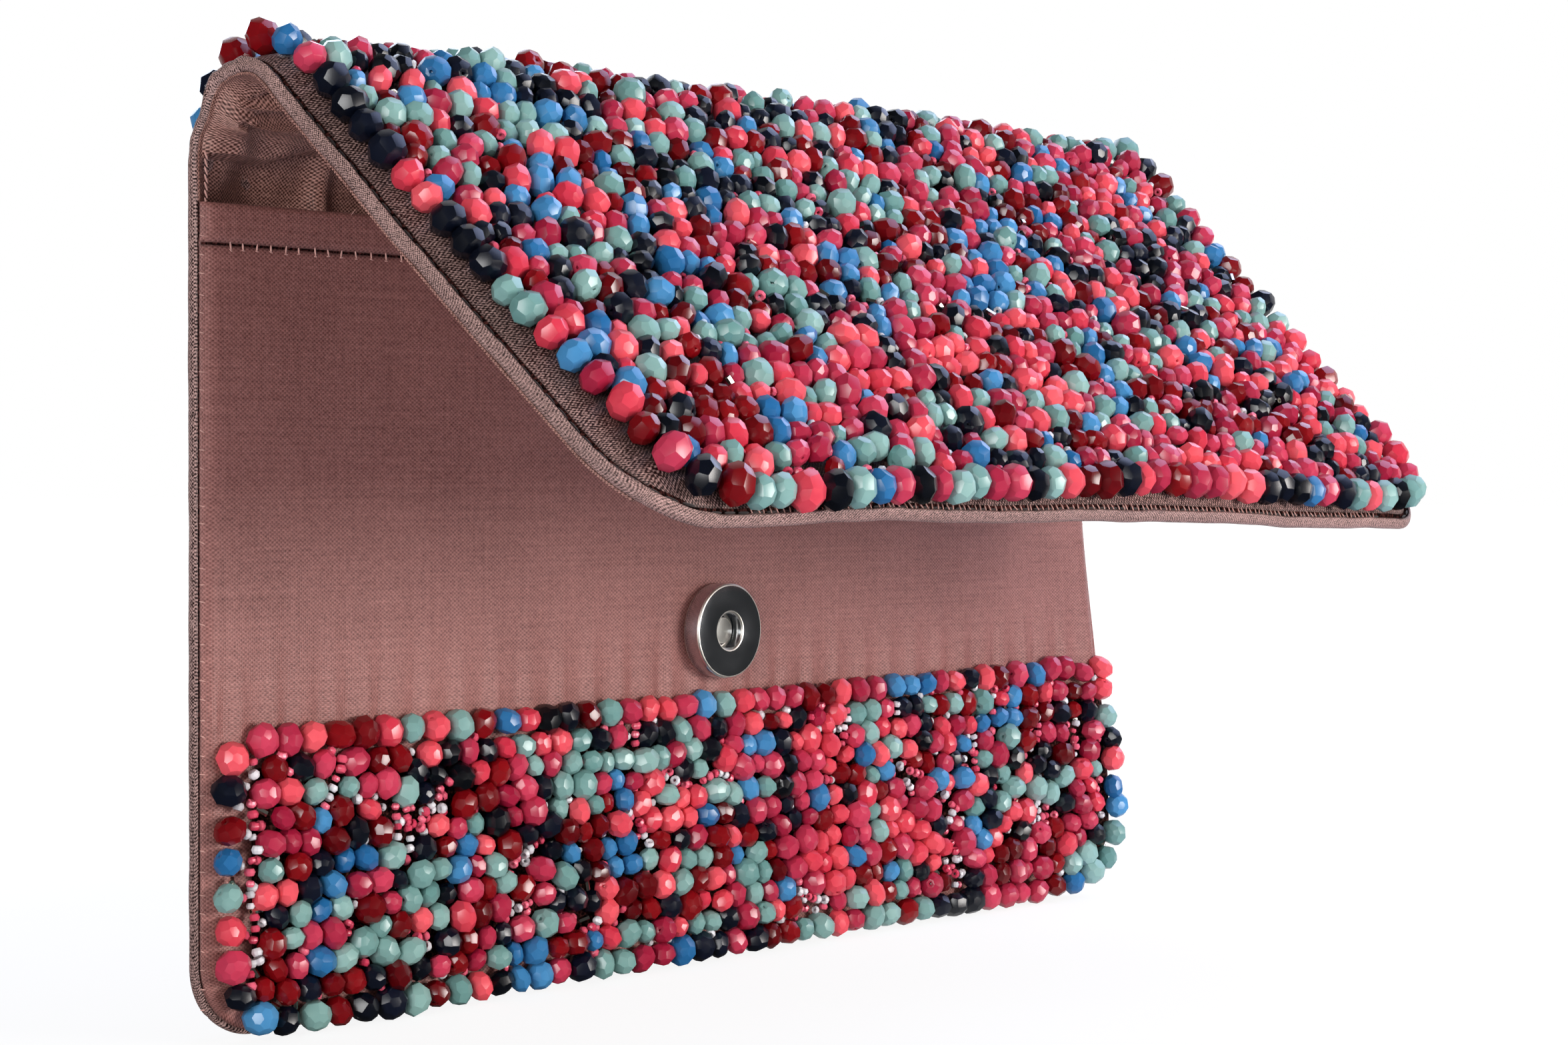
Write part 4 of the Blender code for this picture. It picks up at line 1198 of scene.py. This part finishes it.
# Stitches end to end along a path
def runStitches(path, pitch, length, look):
    path = np.array(path)
    lengths = pathLengths(path)
    for at in np.arange(pitch / 2, lengths[-1], pitch):
        ends = [at - length / 2, at + length / 2]
        x, run = np.interp(ends, lengths, path[:, 0]), np.interp(ends, lengths, path[:, 1])
        first = grooveFrame(x[0], run[0])[0]
        last = grooveFrame(x[1], run[1])[0]
        piece = "flapStitches" if run[0] > 2 * strip else "foldFrontStitches"
        spec = stitchOn((first + last) / 2, last - first, length, stitchSettings["radius"], look)
        rimStitches[piece].append(spec)


topPitch = stitchSettings["topLength"] + stitchSettings["topGap"]
for path in (leftEdge, rightEdge[::-1] + rightArc[::-1], freeEdge):
    runStitches(path, topPitch, stitchSettings["topLength"], darkThread)
for x in np.arange(*stitchSettings["ladderEnds"], stitchSettings["ladderPitch"]):
    x = x + dice.normal(0, 0.15)
    base, across, along, outward = grooveFrame(x, float(endAt(np.array(x))) - seam)
    lean = across * dice.normal(0, 0.25) + along + outward * -0.35
    length = stitchSettings["ladderLength"] * dice.uniform(0.7, 1.1)
    rimStitches["flapStitches"].append(stitchOn(base + outward * 0.22, lean, length, 0.13, pinkThread))
stitches = {name: copyOver(name, specs) for name, specs in rimStitches.items()}

hemSpecs = []
at, lastStitch = stitchSettings["hemEnds"]
while at < lastStitch:
    at += dice.uniform(*stitchSettings["hemPitch"])
    base, across, along, outward = panelFrame(at, bag["hem"] - 0.5)
    length = dice.uniform(*stitchSettings["hemLength"])
    lean = along + across * dice.normal(0, 0.12)
    hemSpecs.append(stitchOn(base + outward * 0.08, lean, length, 0.17, pinkThread))
    foot = base - along * length * 0.35 + outward * 0.12
    hemSpecs.append(stitchOn(foot, across + along * dice.normal(0, 0.3), 0.8, 0.13, pinkThread))
for _ in range(stitchSettings["tufts"]):
    x = dice.uniform(-115, 60)
    base, across, along, outward = panelFrame(x, bag["mouth"] - 0.1)
    lean = along + across * dice.normal(0, 0.7)
    spot = base + along * 0.25 - outward * dice.uniform(0.1, 1.2)
    hemSpecs.append(stitchOn(spot, lean, dice.uniform(0.8, 1.6), 0.07, pinkThread))
stitches["hemStitches"] = copyOver("hemStitches", hemSpecs)

seamSpecs = []
for hand in (-1, 1):
    for z in np.arange(*stitchSettings["whipEnds"], stitchSettings["whipPitch"]):
        base, across, along, outward = panelFrame(hand * (panel["half"] - 0.3), z + dice.normal(0, 0.25))
        lean = across * hand - outward * 0.5 + along * dice.normal(0.25, 0.15)
        seamSpecs.append(stitchOn(base - outward * 0.1, lean, dice.uniform(0.7, 1.2), 0.11, pinkThread))
    for z in np.arange(bag["mouth"], stitchSettings["seamTop"], stitchSettings["seamPitch"]):
        spot = Vector((hand * (bag["half"] - 1.9), bag["frontFace"] + 1.9, z))
        lean = Vector((hand * 0.45, 0, 1))
        seamSpecs.append(stitchOn(spot, lean, 1.6, 0.19, pinkThread))
stitches["seamStitches"] = copyOver("seamStitches", seamSpecs)
print("stitches made")

# The snap's front half: a plated disc with rounded rims, and the pole disc down its hole
snap = {
    "radius": 9.0,
    "hole": 3.45,
    "round": 0.42,
    "faceDown": 0.12,  # clear of the stud's plate when the bag is shut
    "poleRadius": 2.5,
    "poleLow": 0.9,
    "poleDown": 1.95,
    "poleRound": 0.2,
    "sides": 72,
}


def platedDisc(name, radius, low, high, hole, rounding):
    deselectAll()
    middle = (0, 0, (low + high) / 2)
    bpy.ops.mesh.primitive_cylinder_add(
        vertices=snap["sides"], radius=radius, depth=high - low, location=middle
    )
    piece = justAdded(name)
    bpy.ops.object.transform_apply(location=True, rotation=True, scale=True)
    if hole:
        pickFaces(piece, lambda face: face.normal.z > 0.9)
        bpy.ops.mesh.inset(thickness=radius - hole, depth=0.0)
        bpy.ops.mesh.inset(thickness=0.001, depth=-(high - low) * 0.8)
        bpy.ops.object.mode_set(mode="OBJECT")
    rim = piece.modifiers.new("rim", "BEVEL")
    rim.width = rounding
    rim.segments = 4
    rim.limit_method = "ANGLE"
    rim.angle_limit = math.radians(40)
    applyModifiers(piece)
    bpy.ops.object.shade_smooth_by_angle(angle=math.radians(35))
    piece.data.materials.append(nickel if hole else plated)
    # the rounded rims take the painted highlight plate
    piece.data.materials.append(nickelRimHighlight)
    for face in piece.data.polygons:
        face.material_index = int(0.15 < abs(face.normal.z) < 0.99)
    spot = Vector((0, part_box("socket_case")[1].y, bag["snap"] * mm))
    upright = Matrix.Rotation(math.pi / 2, 4, "X")
    piece.data.transform(Matrix.Translation(spot) @ upright @ Matrix.Scale(mm, 4))
    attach(piece, "body")
    return piece


snapDepth = (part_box("socket_case")[1].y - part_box("socket_case")[0].y) / mm
face = snapDepth - snap["faceDown"]
poleFace = snapDepth - snap["poleDown"]
socketCase = platedDisc("socketCase", snap["radius"], 0.0, face, snap["hole"], snap["round"])
socketPole = platedDisc("socketPole", snap["poleRadius"], snap["poleLow"], poleFace, 0, snap["poleRound"])
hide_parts("socket_case")
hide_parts("socket_pole")
print("snap made")

for model in (plainModel, drilledModel, seedModel, bugleModel, stitchModel):
    bpy.data.objects.remove(model, do_unlink=True)

# What moves with what, the name of its finish's slot, and the CAD nodes that it stands for
placing = (
    (covers["backCover"], None, "taffeta", ("back_cover", "back_board")),
    (covers["foldCover"], None, "taffeta", ("fold_rear_cover", "fold_front_cover")),
    (covers["flapCover"], None, "taffeta", ("flap_cover", "flap_board", "flap_wadding")),
    (linings["backLining"], None, "lining", ("back_lining",)),
    (linings["foldLining"], None, "lining", ("fold_rear_lining", "fold_front_lining")),
    (linings["flapLining"], None, "lining", ("flap_lining",)),
    (frontPanel, "body", "taffeta", ("front_cover", "front_padding")),
    (frontLining, "body", "lining", ("front_lining",)),
    (stitches["hemStitches"], "body", "pink_thread", ("hem_thread",)),
    (stitches["seamStitches"], "body", "pink_thread", ("side_seam_thread",)),
    (stitches["foldFrontStitches"], "fold_front", "dark_thread", ()),
    (stitches["flapStitches"], "flap", "dark_thread", ("flap_topstitch",)),
    (beads["bandBeads"], "body", "beads", ("band_beads",)),
    (beads["backBeads"], "body", "beads", ()),
    (beads["foldRearBeads"], "fold_rear", "beads", ("fold_rear_beads",)),
    (beads["foldFrontBeads"], "fold_front", "beads", ("fold_front_beads",)),
    (beads["flapFieldBeads"], "flap", "beads", ("flap_field_beads",)),
    (beads["flapEdgeBeads"], "flap", "beads", ("flap_edge_beads",)),
)
for piece, body, slotName, nodes in placing:
    if nodes:
        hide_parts(*nodes)
    if body:
        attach(piece, body)


for piece in (covers["backCover"], linings["backLining"]):
    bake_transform(piece)
for piece in (covers["foldCover"], linings["foldLining"]):
    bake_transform(piece)
for piece in (covers["flapCover"], linings["flapLining"]):
    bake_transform(piece)

nodeLooks = {
    "socket_magnet": ferrite,
    "socket_prongs": plated,
    "socket_washer": plated,
    "stud_plate": nickel,
    "stud_post": nickel,
    "stud_prongs": plated,
    "stud_washer": plated,
}
for node, look in nodeLooks.items():
    mesh = frame["nodes"][node].data
    mesh.materials.clear()
    mesh.materials.append(look)
print("pieces placed on their bodies")

cameraSettings = {
    "place": (-0.4297, -0.3909, 0.0937),
    "yaw": 49.188,
    "pitch": -1.107,
    "roll": 0.133,
    "lens": 69.956,
}
yaw, pitch, roll = (math.radians(cameraSettings[key]) for key in ("yaw", "pitch", "roll"))
ahead = Vector((math.sin(yaw) * math.cos(pitch), math.cos(yaw) * math.cos(pitch), math.sin(pitch)))
dimRoom = 0.04  # what a mirror sees of the unlit part of the studio


# The white backdrop stands behind the bag, as the camera sees it
def behindBag(tree, direction):
    facing = addNode(tree, "VectorMath", {1: ahead}, {0: direction}, operation="DOT_PRODUCT")
    rise = {"From Min": 0.4, "From Max": 0.85, "To Min": 0.0, "To Max": 1.0}
    return addNode(tree, "MapRange", rise, {"Value": facing})


# 1 for what the camera or clear glass looks at, and for a reflection as far as the backdrop reaches
def seenDirectly(tree, path, backdrop):
    seen = addNode(tree, "Math", links={0: path.outputs["Is Glossy Ray"], 1: backdrop}, operation="MULTIPLY")
    for name in ("Is Camera Ray", "Is Transmission Ray"):
        seen = addNode(tree, "Math", links={0: seen, 1: path.outputs[name]}, operation="MAXIMUM")
    return seen


# Matt white paint that keeps a faint shadow of the bag
def paintedFloor(name, shadow):
    material, tree = newMaterial(name)
    spot = addNode(tree, "TexCoord").outputs["Object"]
    path = addNode(tree, "LightPath")
    away = addNode(tree, "VectorMath", links={0: spot}, operation="NORMALIZE")
    seen = seenDirectly(tree, path, behindBag(tree, away))
    distance = addNode(tree, "VectorMath", links={0: spot}, operation="LENGTH")
    fade = {"From Min": 0.15, "From Max": 0.45, "To Min": 1 - shadow, "To Max": 1.0}
    near = addNode(tree, "MapRange", fade, {"Value": distance})
    share = addNode(tree, "Math", links={0: seen, 1: near}, operation="MULTIPLY")
    paint = addNode(tree, "BsdfDiffuse", {"Color": hexColour("#F4F4F4")})
    dim = addNode(tree, "Emission", {"Color": (1, 1, 1, 1), "Strength": dimRoom})
    mirrored = addNode(tree, "MixShader", {}, {0: path.outputs["Is Glossy Ray"], 1: paint, 2: dim})
    white = addNode(tree, "Emission", {"Color": (1, 1, 1, 1), "Strength": 1.1})
    mixed = addNode(tree, "MixShader", {}, {0: share, 1: mirrored, 2: white})
    addNode(tree, "OutputMaterial", links={"Surface": mixed})
    return material


deselectAll()
bpy.ops.mesh.primitive_plane_add(size=12, location=(0, 0, -0.0008))
floor = justAdded("studioFloor")
bpy.ops.object.transform_apply(location=True, rotation=True, scale=True)
floor.data.materials.append(paintedFloor("paintedFloor", 0.2))

# White backdrop behind the bag. Reflections of the rest of the room are dim, so that facets and
# plate keep their depth
world = bpy.data.worlds.new("softRoom")
bpy.context.scene.world = world
world.use_nodes = True
room = world.node_tree
room.nodes.clear()
direction = addNode(room, "TexCoord").outputs["Generated"]
path = addNode(room, "LightPath")
seen = seenDirectly(room, path, behindBag(room, direction))
levels = {"A": 0.2, "B": dimRoom}
dim = addNode(room, "Mix", levels, {"Factor": path.outputs["Is Glossy Ray"]}, data_type="FLOAT")
strength = addNode(room, "Mix", {"B": 1.0}, {"Factor": seen, "A": dim}, data_type="FLOAT")
glow = addNode(room, "Background", {"Color": (1, 1, 1, 1)}, {"Strength": strength})
addNode(room, "OutputWorld", links={"Surface": glow})

lamps = {
    "leftBox": {
        "place": (-1.0, -0.5, 0.24),
        "aim": (0, 0, 0.07),
        "size": 0.4,
        "power": 6.2,
        "colour": "#FFFFFF",
    },
    "frontBox": {
        "place": (0.34, -1.05, 0.18),
        "aim": (0.03, 0, 0.06),
        "size": 0.4,
        "power": 10.5,
        "colour": "#FFFAF6",
    },
    "topBox": {
        "place": (0.5, -0.14, 0.66),
        "aim": (0.05, -0.05, 0.13),
        "size": 0.7,
        "power": 5.1,
        "colour": "#C4D2FF",
    },
    "rearBox": {
        "place": (0.5, 0.85, 0.5),
        "aim": (0, 0, 0.1),
        "size": 0.6,
        "power": 3.6,
        "colour": "#D8E6FF",
    },
}
for name, lamp in lamps.items():
    light = bpy.data.lights.new(name, "AREA")
    light.shape = "SQUARE"
    light.size = lamp["size"]
    light.energy = lamp["power"]
    light.color = hexColour(lamp["colour"])[:3]
    holder = addObject(name, light)
    holder.location = lamp["place"]
    holder.rotation_euler = (Vector(lamp["aim"]) - holder.location).to_track_quat("-Z", "Y").to_euler()

right = Vector((math.cos(yaw), -math.sin(yaw), 0))
up = right.cross(ahead)
rightTurned = right * math.cos(roll) + up * math.sin(roll)
upTurned = up * math.cos(roll) - right * math.sin(roll)
lens = bpy.data.cameras.new("photoView")
lens.sensor_fit = "HORIZONTAL"
lens.sensor_width = 36
lens.lens = cameraSettings["lens"]
lens.clip_start = 0.01
camera = addObject("photoView", lens)
axes = Matrix((rightTurned, upTurned, -ahead)).transposed().to_4x4()
camera.matrix_world = Matrix.Translation(cameraSettings["place"]) @ axes
bpy.context.scene.camera = camera
bpy.context.scene.view_settings.view_transform = "Standard"
print("stage set")
